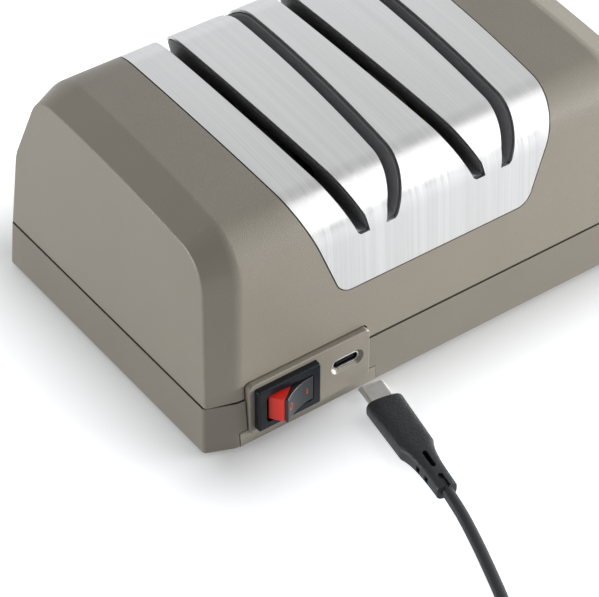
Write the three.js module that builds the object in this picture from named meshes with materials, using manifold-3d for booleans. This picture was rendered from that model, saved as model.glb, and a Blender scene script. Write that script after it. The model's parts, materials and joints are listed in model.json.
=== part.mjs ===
// Electric knife sharpener: two stages with slanted slots, a rocker switch and an unplugged USB lead.
// Millimetres, +Z up. X runs along the case and -Y is its front. The origin lies under its middle.
import * as THREE from "three";
import { mergeVertices } from "three/addons/utils/BufferGeometryUtils.js";
import Module from "manifold-3d";

const wasm = await Module();
wasm.setup();

// Clearances and counts
const GAP = 0.3; // between pieces that touch
const OVERRUN = 6; // past a face, for every cut
const WELD = 1e-4; // points closer than this are one
const ROUND_SIDES = 24;
const SMALL_ROUND_SIDES = 16;

// Case: its length and depth follow from the drive and the battery cells inside it and the room round them
const CASE = {
  leftRoom: 7.95, // from the left end to the motor
  rightRoom: 60.9, // from the second stage's middle to the right end
  rearRoom: 13.8, // from the rear cells' axis to the rear
  seamHeight: 15.9,
  seamStep: 0.33,
  wall: 2.6,
  floor: 2.4,
  crownHeight: 73.2,
  crownBeforeRear: 21.6,
  crownRadius: 559,
  frontRadius: 16,
  rearRadius: 15.7,
  breakRadius: 20.5,
  breakHeight: 42.7,
  chamferAlong: 9.1,
  chamferAcross: 3.8,
  chamferDown: 3.1,
};
// Slopes of the walls, as shares of the height
const LEAN_SHARES = {
  baseFront: 0.063,
  baseEnd: 0.062,
  front: 0.059,
  rear: 0.068,
  end: 0.065,
};
const REAR_SLANT = THREE.MathUtils.degToRad(24.3);

// Steel guide plate over the top
const PLATE = {
  thickness: 0.8,
  drop: 36.5, // from the crown to the plate's lower edge
  leftMargin: 26.95, // beyond the first stage's middle, at the crown
  rightMargin: 26.65, // beyond the second stage's middle, at the crown
  cornerRadius: 5.5,
  cornerSteps: 4,
};
const PLATE_SIDE = THREE.MathUtils.degToRad(20.7);

// Sharpening stages and their slots
const STAGE = {
  pitch: 41,
  innerAtCrown: 9.95,
  slotWidth: 5,
  slotDepth: 19.5, // below the crown
  bottomInner: 2.85,
  bottomOuter: 6,
  bottomChamfer: 0.9,
  insertHalfWidth: 16,
  insertFloor: 7.7, // under the slots
  pocketHalfWidth: 10.4,
  pocketClear: 2, // round the discs
};
const SLOT_SLANT = THREE.MathUtils.degToRad(23.3);

// Front panel, switch and charging socket: heights above the base's underside, X from the case's left end
const PANEL = {
  left: 12.95,
  right: 55.05,
  top: 21.2,
  proud: 0.4,
  back: 4.3,
  stripLeft: 10.15,
  stripRight: 57.55,
  stripTop: 5.2,
  stripProud: 0.15,
  cornerCut: 1.6,
};
const SWITCH = {
  fromLeft: 25.55,
  z: 12.3,
  width: 20.8,
  height: 14.2,
  proud: 2.1, // in front of the panel
  bevel: 0.7,
  bodyWidth: 18.6,
  bodyHeight: 12.4,
  bodyDepth: 14,
  openingWidth: 16.2,
  openingHeight: 11,
  openingDepth: 13,
  tabWidth: 4.8,
  tabThickness: 0.8,
  tabLength: 7,
  tabPitch: 9.5,
};
const ROCKER = {
  pivotBehindFoot: 1.4,
  tipRadius: 8.8,
  height: 8.6,
  flank: 3.9,
  hubHalfWidth: 3,
  hubBack: 2.6,
  hollow: 1,
  hollowSteps: 6,
  pinRadius: 1.4,
};
const ROCKER_TIP = THREE.MathUtils.degToRad(43.8); // half the angle between the tips
const ROCKER_THROW = THREE.MathUtils.degToRad(18.8); // each way from the middle
const SOCKET = {
  fromLeft: 47.65,
  z: 12.5,
  recessWidth: 11,
  recessHeight: 4.3,
  recessDepth: 1.7,
  width: 8.9,
  height: 3.2,
  wall: 0.35,
  depth: 7.4,
  tongueWidth: 6.6,
  tongueThickness: 0.7,
  tongueInset: 0.8,
  capSteps: 6,
};

// Drive
const SPINDLE = {
  y: 50, // behind the front foot
  radius: 3,
  overhang: 1, // past the second bearing
  intoCoupling: 10.55, // before the first stage's middle
};
const MOTOR = {
  length: 36,
  beforeStage: 16.05, // from the motor's face to the first stage's middle
  radius: 13.85,
  bossRadius: 4,
  bossLength: 1.6,
  shaftRadius: 1.15,
  boreDepth: 6,
};
const COUPLING = { radius: 4.2, clear: 0.4, discClear: 0.95 };
const DISC = {
  radius: 20,
  rimRadius: 19.2,
  hubFace: 7.4, // from the middle of the stage
  rimFace: 5.4,
  innerFace: 2.6,
  hubRadius: 7.5,
  hubInner: 4.4,
  cupRadius: 6.5,
  aboveSlotBottom: 5.8,
};
const COLLAR = { radius: 5, halfLength: 0.9 };
const SPRING = { radius: 5.9, bore: 3.4 };
const BEARING = { radius: 5.5, length: 4, insertClear: 0.55 };
const BRACKET = {
  thickness: 4,
  halfDepth: 13,
  head: 4.5, // above the bearing
  footLength: 12,
  footThickness: 2,
};
const MOTOR_MOUNT = {
  plate: 2,
  halfDepth: 16,
  head: 5.8,
  saddle: 4,
  saddleHalfDepth: 11,
  saddleBack: 5,
  footThickness: 2,
};

// Charge store and board
const CELL = {
  radius: 9.2,
  length: 65,
  afterStage: 0.95, // from the first stage's middle
  behindSpindle: 28,
  pitch: 19,
  capRadius: 3.2,
  cap: 1.2,
};
const CRADLE = { plate: 1.5, end: 3, height: 9, margin: 1.2 };
const BOARD = { length: 28, depth: 24, thickness: 1.6, clear: 0.5 };
const POST = { radius: 2.2, inset: 4 };

// Feet, screws and their columns
const FOOT = {
  radius: 7,
  height: 1.2,
  recess: 1.1,
  fromEnd: 28.95,
  fromFront: 15,
  fromRear: 14.8,
};
const SCREW = {
  headRadius: 3,
  headHeight: 1.6,
  radius: 1.5,
  bore: 1.8,
  counterbore: 3.4,
  depth: 2.1,
  length: 22,
  fromEnd: 12.45,
  fromFront: 26,
  fromRear: 18.8,
  columnRadius: 4,
};

// Places that follow from the sizes above
const LENGTH =
  CASE.leftRoom +
  MOTOR.length +
  MOTOR.beforeStage +
  STAGE.pitch +
  CASE.rightRoom;
const leftEnd = -LENGTH / 2;
const motorLeft = leftEnd + CASE.leftRoom;
const motorFront = motorLeft + MOTOR.length;
const firstStage = motorFront + MOTOR.beforeStage;
const STAGE_CENTRES = [firstStage, firstStage + STAGE.pitch];
const [, secondStage] = STAGE_CENTRES;
const CELL_ROWS = [0, CELL.pitch].map(
  (step) => SPINDLE.y + CELL.behindSpindle + step,
);
const DEPTH = CELL_ROWS[1] + CASE.rearRoom;
const slotBottom = CASE.crownHeight - STAGE.slotDepth;
const insertBottom = slotBottom - STAGE.insertFloor;
const spindleHeight = slotBottom + DISC.aboveSlotBottom - DISC.radius;
const panelX = {
  left: leftEnd + PANEL.left,
  right: leftEnd + PANEL.right,
  stripLeft: leftEnd + PANEL.stripLeft,
  stripRight: leftEnd + PANEL.stripRight,
};
const switchX = leftEnd + SWITCH.fromLeft;
const socketX = leftEnd + SOCKET.fromLeft;
const bearingPlaces = [
  (firstStage + secondStage) / 2 - BEARING.length / 2,
  secondStage + STAGE.insertHalfWidth + BEARING.insertClear,
];
const spindleLeft = firstStage - SPINDLE.intoCoupling;
const spindleRight = bearingPlaces[1] + BEARING.length + SPINDLE.overhang;
const couplingLeft = motorFront + MOTOR.bossLength + COUPLING.clear;
const couplingRight = firstStage - DISC.hubFace - COUPLING.discClear;
const cellLeft = firstStage + CELL.afterStage;

// Charging lead: the plug lies before the appliance with its mouth towards the socket
const LEAD = {
  cordRadius: 1.775,
  sides: 8,
  step: 8,
};
const PLUG_C = {
  x: -27.5,
  y: -55.3,
  z: 3.2,
  shellWidth: 8.3,
  shellHeight: 2.5,
  shellLength: 7.6,
  shellWall: 0.35,
  mouth: 5,
  bodyWidth: 11.6,
  bodyHeight: 6.4,
  bodyLength: 20.5,
  neckWidth: 10.6,
  tailWidth: 6.2,
  tailHeight: 5,
  neckLength: 4.4,
  tailLength: 13.4,
  capSteps: 5,
};
const PLUG_C_HEADING = THREE.MathUtils.degToRad(-10.7);
const PLUG_A = {
  z: 4.1,
  bodyWidth: 15.7,
  bodyHeight: 8,
  bodyLength: 20,
  tailRadius: 3,
  tailLength: 7,
  shellWidth: 12,
  shellHeight: 4.5,
  shellLength: 12,
  shellWall: 0.4,
  mouth: 9,
};
const COIL = {
  midRadius: 19.5,
  clear: 0.5, // between neighbouring turns
  turnsIn: 3,
  turnsClimb: 0.5,
  turnsOut: 2.69,
  stepsPerTurn: 24,
  sides: 6,
  leadOut: 18,
  drop: 8,
};
// The free stretch of the cord, from the strain relief to the coil
const CORD_PLACES = [
  [-36.2, -101.3, 3.2],
  [-38, -109.9, 2.4],
  [-40.9, -119.6, 1.8],
  [-44.5, -129.5, 1.8],
  [-48.1, -138.8, 1.8],
  [-53.2, -150.6, 1.8],
  [-58.8, -165.1, 1.8],
];

// Solids
const toSolid = (geometry) => {
  const plain = geometry.clone();
  plain.deleteAttribute("normal");
  plain.deleteAttribute("uv");
  const merged = mergeVertices(plain, WELD);
  return new wasm.Manifold(
    new wasm.Mesh({
      numProp: 3,
      vertProperties: merged.attributes.position.array,
      triVerts: new Uint32Array(merged.index.array),
    }),
  );
};

const toGeometry = (solid) => {
  const mesh = solid.getMesh();
  const geometry = new THREE.BufferGeometry();
  geometry.setAttribute(
    "position",
    new THREE.BufferAttribute(mesh.vertProperties, mesh.numProp),
  );
  geometry.setIndex(new THREE.BufferAttribute(mesh.triVerts, 1));
  const flat = geometry.toNonIndexed();
  flat.computeVertexNormals();
  return flat;
};

const indexed = (positions, faces) => {
  const geometry = new THREE.BufferGeometry();
  geometry.setAttribute(
    "position",
    new THREE.Float32BufferAttribute(positions.flat(), 3),
  );
  geometry.setIndex(faces.flat());
  return geometry;
};

const shapeOf = (points) =>
  new THREE.Shape(points.map(([u, v]) => new THREE.Vector2(u, v)));

const extrude = (points, depth) =>
  new THREE.ExtrudeGeometry(shapeOf(points), { depth, bevelEnabled: false });

const AXES = {
  x: new THREE.Vector3(1, 0, 0),
  y: new THREE.Vector3(0, 1, 0),
  z: new THREE.Vector3(0, 0, 1),
};

// A prism along X of an outline in Y and Z
const prismX = (points, left, right) =>
  toSolid(
    extrude(points, right - left)
      .applyMatrix4(new THREE.Matrix4().makeBasis(AXES.y, AXES.z, AXES.x))
      .translate(left, 0, 0),
  );

// A prism along Y of an outline in X and Z
const prismY = (points, front, back) =>
  toSolid(
    extrude(points, back - front)
      .applyMatrix4(
        new THREE.Matrix4().makeBasis(
          AXES.x,
          AXES.z,
          AXES.y.clone().negate(),
        ),
      )
      .translate(0, back, 0),
  );

// A prism along Z of an outline in X and Y
const prismZ = (points, bottom, top) =>
  toSolid(extrude(points, top - bottom).translate(0, 0, bottom));

const block = (left, right, front, back, bottom, top) =>
  toSolid(
    new THREE.BoxGeometry(right - left, back - front, top - bottom).translate(
      (left + right) / 2,
      (front + back) / 2,
      (bottom + top) / 2,
    ),
  );

const cylinderX = (radius, left, right, y, z, sides = ROUND_SIDES) =>
  toSolid(
    new THREE.CylinderGeometry(radius, radius, right - left, sides)
      .rotateZ(-Math.PI / 2)
      .translate((left + right) / 2, y, z),
  );

const cylinderZ = (radius, x, y, bottom, top, sides = ROUND_SIDES) =>
  toSolid(
    new THREE.CylinderGeometry(radius, radius, top - bottom, sides)
      .rotateX(Math.PI / 2)
      .translate(x, y, (bottom + top) / 2),
  );

const union = (solids) => solids.reduce((sum, solid) => sum.add(solid));
const without = (solid, cuts) =>
  cuts.reduce((rest, cut) => rest.subtract(cut), solid);

// An arc's points round a centre, ends included
const arc = (centre, radius, from, to, steps) =>
  Array.from({ length: steps + 1 }, (_, i) => {
    const angle = from + ((to - from) * i) / steps;
    return {
      y: centre.y + radius * Math.cos(angle),
      z: centre.z + radius * Math.sin(angle),
      angle,
    };
  });

// Where a point that moves along a line comes to a given distance from a centre, on the line's far side
const meetCircle = (point, direction, centre, distance) => {
  const offset = point.clone().sub(centre);
  const along = offset.dot(direction);
  const rest = offset.lengthSq() - distance * distance;
  const travel = -along + Math.sqrt(along * along - rest);
  return point.clone().addScaledVector(direction, travel);
};

// Case section: drafted front wall, crowned top that falls to the front, slanted upper rear wall
const section = (() => {
  const lean = LEAN_SHARES;
  const foot = CASE.seamStep + lean.baseFront * CASE.seamHeight;
  const crown = new THREE.Vector2(
    DEPTH - CASE.crownBeforeRear,
    CASE.crownHeight - CASE.crownRadius,
  );
  const frontUp = new THREE.Vector2(lean.front, 1).normalize();
  const frontIn = new THREE.Vector2(frontUp.y, -frontUp.x);
  const frontFoot = new THREE.Vector2(foot, CASE.seamHeight);
  const frontCentre = meetCircle(
    frontFoot.clone().addScaledVector(frontIn, CASE.frontRadius),
    frontUp,
    crown,
    CASE.crownRadius - CASE.frontRadius,
  );
  const rearUp = new THREE.Vector2(-lean.rear, 1).normalize();
  const rearIn = new THREE.Vector2(-rearUp.y, rearUp.x);
  const rearFoot = new THREE.Vector2(DEPTH - foot, CASE.seamHeight);
  const slantUp = new THREE.Vector2(
    -Math.sin(REAR_SLANT),
    Math.cos(REAR_SLANT),
  );
  const slantIn = new THREE.Vector2(-slantUp.y, slantUp.x);
  const breakPoint = rearFoot
    .clone()
    .addScaledVector(rearUp, (CASE.breakHeight - CASE.seamHeight) / rearUp.y);
  const rearCentre = meetCircle(
    breakPoint.clone().addScaledVector(slantIn, CASE.rearRadius),
    slantUp,
    crown,
    CASE.crownRadius - CASE.rearRadius,
  );
  const middleIn = rearIn.clone().add(slantIn).normalize();
  const breakCentre = breakPoint
    .clone()
    .addScaledVector(middleIn, CASE.breakRadius / middleIn.dot(rearIn));
  return {
    crown,
    frontFoot,
    frontUp,
    frontIn,
    frontCentre,
    rearFoot,
    rearUp,
    rearIn,
    rearCentre,
    breakCentre,
    frontAngle: Math.atan2(-frontIn.y, -frontIn.x),
    frontTop: Math.atan2(frontCentre.y - crown.y, frontCentre.x - crown.x),
    rearTop: Math.atan2(rearCentre.y - crown.y, rearCentre.x - crown.x),
    rearAngle: Math.atan2(-rearIn.y, -rearIn.x),
  };
})();

const SHOULDER_STEPS = 6;
const CROWN_STEPS = 6;
const BREAK_STEPS = 2;

// The section's points from the front foot over the top to the rear foot, drawn in by an inset
const sectionPoints = (inset, footHeight) => {
  const s = section;
  const place = (v) => ({ y: v.x, z: v.y });
  const front = s.frontFoot
    .clone()
    .addScaledVector(s.frontIn, inset)
    .addScaledVector(s.frontUp, (footHeight - s.frontFoot.y) / s.frontUp.y);
  const rear = s.rearFoot
    .clone()
    .addScaledVector(s.rearIn, inset)
    .addScaledVector(s.rearUp, (footHeight - s.rearFoot.y) / s.rearUp.y);
  const frontArc = arc(
    place(s.frontCentre),
    CASE.frontRadius - inset,
    s.frontAngle,
    s.frontTop,
    SHOULDER_STEPS,
  );
  const crownArc = arc(
    place(s.crown),
    CASE.crownRadius - inset,
    s.frontTop,
    s.rearTop,
    CROWN_STEPS,
  );
  const rearArc = arc(
    place(s.rearCentre),
    CASE.rearRadius - inset,
    s.rearTop,
    REAR_SLANT,
    SHOULDER_STEPS,
  );
  const breakArc = arc(
    place(s.breakCentre),
    CASE.breakRadius - inset,
    REAR_SLANT,
    s.rearAngle,
    BREAK_STEPS,
  );
  return [
    { ...place(front), angle: s.frontAngle },
    ...frontArc,
    ...crownArc.slice(1, -1),
    ...rearArc,
    ...breakArc,
    { ...place(rear), angle: s.rearAngle },
  ];
};

const endFace = (height) =>
  LENGTH / 2 -
  LEAN_SHARES.baseEnd * CASE.seamHeight -
  CASE.seamStep -
  LEAN_SHARES.end * (height - CASE.seamHeight);

// A solid through rings of points, each ring walked the same way, closed by flat ends
const loft = (rings, caps) => {
  const count = rings[0].length;
  const faces = [];
  for (let r = 0; r + 1 < rings.length; r++)
    for (let i = 0; i < count; i++) {
      const j = (i + 1) % count;
      const a = r * count;
      const b = a + count;
      faces.push([a + i, b + i, b + j], [a + i, b + j, a + j]);
    }
  const last = (rings.length - 1) * count;
  for (const [p, q, r] of caps) {
    faces.push([p, q, r]);
    faces.push([last + r, last + q, last + p]);
  }
  return indexed(rings.flat(), faces);
};

// An outline's triangles, each walked the way the outline is
const flatFaces = (outline) => {
  const points = outline.map(([u, v]) => new THREE.Vector2(u, v));
  const faces = THREE.ShapeUtils.triangulateShape(points, []);
  const walked = THREE.ShapeUtils.area(points);
  const filled = faces.reduce(
    (sum, face) => sum + THREE.ShapeUtils.area(face.map((k) => points[k])),
    0,
  );
  return walked * filled < 0 ? faces.map(([p, q, r]) => [r, q, p]) : faces;
};

// Upper case form: the section between chamfered, drafted ends
const upperForm = (inset, footHeight) => {
  const points = sectionPoints(inset, footHeight);
  const narrow = points.map(({ y, z, angle }) => ({
    y: y - CASE.chamferAcross * Math.cos(angle),
    z: z - CASE.chamferDown * Math.sin(angle),
  }));
  narrow[0].z = footHeight;
  narrow[narrow.length - 1].z = footHeight;
  const ring = (list, side, along) =>
    list.map(({ y, z }) => [side * (endFace(z) - inset - along), y, z]);
  const rings = [
    ring(narrow, -1, 0),
    ring(points, -1, CASE.chamferAlong),
    ring(points, 1, CASE.chamferAlong),
    ring(narrow, 1, 0),
  ];
  return facingOut(loft(rings, flatFaces(narrow.map(({ y, z }) => [y, z]))));
};

const facingOut = (geometry) => {
  const solid = toSolid(geometry);
  if (solid.volume() > 0) return solid;
  const turned = geometry.clone();
  const index = turned.index.array;
  for (let i = 0; i < index.length; i += 3)
    [index[i + 1], index[i + 2]] = [index[i + 2], index[i + 1]];
  return toSolid(turned);
};

// Base form: a rectangle with cut corners, drafted inwards with its height
const baseForm = (inset, bottom, top) => {
  const ring = (height) => {
    const x = LENGTH / 2 - inset - LEAN_SHARES.baseEnd * height;
    const front = inset + LEAN_SHARES.baseFront * height;
    const back = DEPTH - front;
    const along = CASE.chamferAlong;
    const across = CASE.chamferAcross;
    return [
      [-x, front + across, height],
      [-x + along, front, height],
      [x - along, front, height],
      [x, front + across, height],
      [x, back - across, height],
      [x - along, back, height],
      [-x + along, back, height],
      [-x, back - across, height],
    ];
  };
  const rings = [ring(bottom), ring(top)];
  return facingOut(loft(rings, flatFaces(rings[0].map(([x, y]) => [x, y]))));
};

// Slot outline in X and Z: side is -1 for the left slot of a stage and 1 for the right one
const slotOutline = (centre, side, grow = 0) => {
  const slope = Math.tan(SLOT_SLANT);
  const inner = (z) =>
    STAGE.innerAtCrown - grow - slope * (CASE.crownHeight - z);
  const outer = (z) => inner(z) + STAGE.slotWidth + 2 * grow;
  const top = CASE.crownHeight + OVERRUN;
  const bottom = slotBottom - grow;
  const innerFoot = STAGE.bottomInner - grow;
  const knee = bottom + (innerFoot + STAGE.bottomChamfer - inner(bottom)) / slope;
  const points = [
    [outer(top), top],
    [inner(top), top],
    [innerFoot + STAGE.bottomChamfer, knee],
    [innerFoot, bottom],
    [STAGE.bottomOuter + grow, bottom],
    [outer(bottom + STAGE.bottomChamfer), bottom + STAGE.bottomChamfer],
  ].map(([u, z]) => [centre + side * u, z]);
  return side > 0 ? points : points.reverse();
};

const slotCuts = (grow = 0) =>
  STAGE_CENTRES.flatMap((centre) =>
    [-1, 1].map((side) =>
      prismY(
        slotOutline(centre, side, grow),
        -OVERRUN,
        DEPTH + OVERRUN,
      ),
    ),
  );

// Guide plate outline in X and Z, with round lower corners
const plateOutline = (grow) => {
  const slope = Math.tan(PLATE_SIDE);
  const leftAtCrown = PLATE.leftMargin - firstStage;
  const rightAtCrown = PLATE.rightMargin + secondStage;
  const top = CASE.crownHeight + OVERRUN;
  const bottom = CASE.crownHeight - PLATE.drop - grow;
  const radius = PLATE.cornerRadius + grow;
  const half = (atCrown, z) =>
    atCrown + grow / Math.cos(PLATE_SIDE) - slope * (CASE.crownHeight - z);
  const centreHeight = bottom + radius;
  const corner = (atCrown) => {
    const across = half(atCrown, centreHeight) - radius / Math.cos(PLATE_SIDE);
    return arc(
      { y: across, z: centreHeight },
      radius,
      -Math.PI / 2,
      -PLATE_SIDE,
      PLATE.cornerSteps,
    ).map(({ y, z }) => [y, z]);
  };
  const right = [
    ...corner(rightAtCrown),
    [half(rightAtCrown, top), top],
  ];
  const left = [
    ...corner(leftAtCrown),
    [half(leftAtCrown, top), top],
  ];
  return [...right, ...left.reverse().map(([x, z]) => [-x, z])];
};

const sectionOutline = (inset, footHeight) =>
  sectionPoints(inset, footHeight).map(({ y, z }) => [y, z]);

// The layer of the case between two insets, inside the guide plate's outline
const plateLayer = (outer, inner, grow) => {
  const reach = LENGTH / 2;
  const foot = CASE.seamHeight;
  const outerForm = prismX(sectionOutline(outer, foot), -reach, reach);
  const innerForm = prismX(
    sectionOutline(inner, foot - OVERRUN),
    -reach - OVERRUN,
    reach + OVERRUN,
  );
  const outline = prismY(
    plateOutline(grow),
    -OVERRUN,
    DEPTH + OVERRUN,
  );
  return outerForm.subtract(innerForm).intersect(outline);
};

// The four places that lie a given way in from the ends, the front and the rear
const cornerPlaces = ({ fromEnd, fromFront, fromRear }) =>
  [-1, 1].flatMap((side) =>
    [fromFront, DEPTH - fromRear].map((y) => [
      side * (LENGTH / 2 - fromEnd),
      y,
    ]),
  );
const screwPlaces = cornerPlaces(SCREW);
const footPlaces = cornerPlaces(FOOT);

const insertBlock = (centre, grow, inset) =>
  prismX(
    sectionOutline(inset, CASE.seamHeight),
    centre - STAGE.insertHalfWidth - grow,
    centre + STAGE.insertHalfWidth + grow,
  ).intersect(
    block(
      -LENGTH,
      LENGTH,
      -OVERRUN,
      DEPTH + OVERRUN,
      insertBottom - grow,
      CASE.crownHeight + OVERRUN,
    ),
  );

const panelOutline = (grow) => {
  const cut = PANEL.cornerCut;
  return [
    [panelX.stripLeft - grow, -grow],
    [panelX.stripRight + grow, -grow],
    [panelX.stripRight + grow, PANEL.stripTop + grow],
    [panelX.right + grow, PANEL.stripTop + grow],
    [panelX.right + grow, PANEL.top + grow - cut],
    [panelX.right + grow - cut, PANEL.top + grow],
    [panelX.left - grow + cut, PANEL.top + grow],
    [panelX.left - grow, PANEL.top + grow - cut],
    [panelX.left - grow, PANEL.stripTop + grow],
    [panelX.stripLeft - grow, PANEL.stripTop + grow],
  ];
};

const panelCut = () =>
  prismY(panelOutline(GAP), -OVERRUN, PANEL.back + GAP);

function upperHousing() {
  const foot = CASE.seamHeight + GAP;
  const outer = upperForm(0, foot);
  const shell = outer.subtract(upperForm(CASE.wall, foot - OVERRUN));
  const columns = screwPlaces.map(([x, y]) =>
    cylinderZ(SCREW.columnRadius, x, y, foot, CASE.crownHeight, SMALL_ROUND_SIDES)
      .intersect(outer),
  );
  const bores = screwPlaces.map(([x, y]) =>
    cylinderZ(SCREW.bore, x, y, foot - OVERRUN, SCREW.length + GAP, SMALL_ROUND_SIDES),
  );
  const recess = plateLayer(-OVERRUN / 2, PLATE.thickness + GAP, GAP);
  const openings = STAGE_CENTRES.map((centre) =>
    insertBlock(centre, GAP, -OVERRUN / 2),
  );
  return without(union([shell, ...columns]), [
    ...bores,
    recess,
    ...openings,
    panelCut(),
  ]);
}

const guidePlate = () =>
  without(plateLayer(0, PLATE.thickness, 0), slotCuts());

const guideInsert = (centre) => {
  const pocket = block(
    centre - STAGE.pocketHalfWidth,
    centre + STAGE.pocketHalfWidth,
    SPINDLE.y - DISC.radius - STAGE.pocketClear,
    SPINDLE.y + DISC.radius + STAGE.pocketClear,
    insertBottom - OVERRUN,
    spindleHeight + DISC.radius + STAGE.pocketClear,
  );
  return without(insertBlock(centre, 0, PLATE.thickness + GAP), [
    pocket,
    ...slotCuts(),
  ]);
};

const boardLeft = socketX - BOARD.length / 2 + POST.inset;
const boardTop = SOCKET.z - SOCKET.height / 2 - GAP;
const boardFront = PANEL.back + BOARD.clear;

function baseShell() {
  const inner = baseForm(CASE.wall, CASE.floor, CASE.seamHeight + OVERRUN);
  const shell = baseForm(0, 0, CASE.seamHeight).subtract(inner);
  const posts = screwPlaces.map(([x, y]) =>
    cylinderZ(SCREW.columnRadius, x, y, 0, CASE.seamHeight, SMALL_ROUND_SIDES),
  );
  const boardPosts = [POST.inset, BOARD.length - POST.inset].flatMap((along) =>
    [POST.inset, BOARD.depth - POST.inset].map((deep) =>
      cylinderZ(
        POST.radius,
        boardLeft + along,
        boardFront + deep,
        0,
        boardTop - BOARD.thickness,
        SMALL_ROUND_SIDES,
      ),
    ),
  );
  const bores = screwPlaces.flatMap(([x, y]) => [
    cylinderZ(SCREW.bore, x, y, -OVERRUN, CASE.seamHeight + OVERRUN, SMALL_ROUND_SIDES),
    cylinderZ(SCREW.counterbore, x, y, -OVERRUN, SCREW.depth, SMALL_ROUND_SIDES),
  ]);
  const recesses = footPlaces.map(([x, y]) =>
    cylinderZ(FOOT.radius + GAP, x, y, -OVERRUN, FOOT.recess),
  );
  return without(union([shell, ...posts, ...boardPosts]), [
    ...bores,
    ...recesses,
    panelCut(),
  ]);
}

// A stadium outline: a rectangle whose short sides are round
const stadium = (x, z, width, height, steps) => {
  const radius = height / 2;
  const reach = width / 2 - radius;
  const cap = arc({ y: x + reach, z }, radius, -Math.PI / 2, Math.PI / 2, steps);
  const right = cap.map((point) => [point.y, point.z]);
  const left = right.map(([u, v]) => [2 * x - u, 2 * z - v]);
  return [...right, ...left];
};

const rectangle = (x, z, width, height, cut = 0) => {
  const w = width / 2;
  const h = height / 2;
  const plain = [
    [x - w, z - h],
    [x + w, z - h],
    [x + w, z + h],
    [x - w, z + h],
  ];
  if (!cut) return plain;
  return [
    [x - w + cut, z - h],
    [x + w - cut, z - h],
    [x + w, z - h + cut],
    [x + w, z + h - cut],
    [x + w - cut, z + h],
    [x - w + cut, z + h],
    [x - w, z + h - cut],
    [x - w, z - h + cut],
  ];
};

function frontPanel() {
  const strip = prismY(
    rectangle(
      (panelX.stripLeft + panelX.stripRight) / 2,
      PANEL.stripTop / 2,
      panelX.stripRight - panelX.stripLeft,
      PANEL.stripTop,
    ),
    -PANEL.stripProud,
    PANEL.back,
  );
  const face = prismY(panelOutline(0), -PANEL.proud, PANEL.back).subtract(
    block(
      -LENGTH,
      LENGTH,
      -OVERRUN,
      DEPTH,
      -OVERRUN,
      PANEL.stripTop,
    ),
  );
  const switchHole = prismY(
    rectangle(
      switchX,
      SWITCH.z,
      SWITCH.bodyWidth + 2 * GAP,
      SWITCH.bodyHeight + 2 * GAP,
    ),
    -OVERRUN,
    DEPTH,
  );
  const recess = prismY(
    stadium(socketX, SOCKET.z, SOCKET.recessWidth, SOCKET.recessHeight, SOCKET.capSteps),
    -OVERRUN,
    SOCKET.recessDepth - PANEL.proud,
  );
  const socketHole = prismY(
    stadium(
      socketX,
      SOCKET.z,
      SOCKET.width + 2 * GAP,
      SOCKET.height + 2 * GAP,
      SOCKET.capSteps,
    ),
    -OVERRUN,
    DEPTH,
  );
  return without(union([strip, face]), [switchHole, recess, socketHole]);
}

// Rocker frame: bevelled flange in front of the panel, box behind it, two terminal tabs
function switchFrame() {
  const front = -PANEL.proud - SWITCH.proud;
  const back = -PANEL.proud + SWITCH.bodyDepth;
  const flange = prismY(
    rectangle(switchX, SWITCH.z, SWITCH.width, SWITCH.height, SWITCH.bevel),
    front + SWITCH.bevel,
    -PANEL.proud,
  );
  const lip = prismY(
    rectangle(
      switchX,
      SWITCH.z,
      SWITCH.width - 2 * SWITCH.bevel,
      SWITCH.height - 2 * SWITCH.bevel,
      SWITCH.bevel,
    ),
    front,
    front + SWITCH.bevel,
  );
  const body = prismY(
    rectangle(switchX, SWITCH.z, SWITCH.bodyWidth, SWITCH.bodyHeight),
    -PANEL.proud,
    back,
  );
  const tabs = [-1, 1].map((side) =>
    block(
      switchX + (side * SWITCH.tabPitch) / 2 - SWITCH.tabThickness / 2,
      switchX + (side * SWITCH.tabPitch) / 2 + SWITCH.tabThickness / 2,
      back - SWITCH.tabThickness,
      back + SWITCH.tabLength,
      SWITCH.z - SWITCH.tabWidth / 2,
      SWITCH.z + SWITCH.tabWidth / 2,
    ),
  );
  const opening = prismY(
    rectangle(switchX, SWITCH.z, SWITCH.openingWidth, SWITCH.openingHeight),
    -OVERRUN,
    front + SWITCH.openingDepth,
  );
  return union([flange, lip, body, ...tabs]).subtract(opening);
}

// Rocker in its own frame: pivot at the origin, middle position, axis along Z
function rockerSolid() {
  const tipX = ROCKER.tipRadius * Math.sin(ROCKER_TIP);
  const tipY = -ROCKER.tipRadius * Math.cos(ROCKER_TIP);
  const bowl = Array.from({ length: ROCKER.hollowSteps + 1 }, (_, i) => {
    const across = (2 * i) / ROCKER.hollowSteps - 1;
    return [across * tipX, tipY + ROCKER.hollow * (1 - across * across)];
  });
  const flankX = tipX + ROCKER.flank * Math.sin(ROCKER_THROW);
  const flankY = tipY + ROCKER.flank * Math.cos(ROCKER_THROW);
  const outline = [
    ...bowl,
    [flankX, flankY],
    [ROCKER.hubHalfWidth, ROCKER.hubBack],
    [-ROCKER.hubHalfWidth, ROCKER.hubBack],
    [-flankX, flankY],
  ];
  const half = ROCKER.height / 2;
  const reach = SWITCH.openingHeight / 2 - GAP;
  return union([
    prismZ(outline, -half, half),
    cylinderZ(ROCKER.pinRadius, 0, 0, -reach, reach, SMALL_ROUND_SIDES),
  ]);
}

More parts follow.
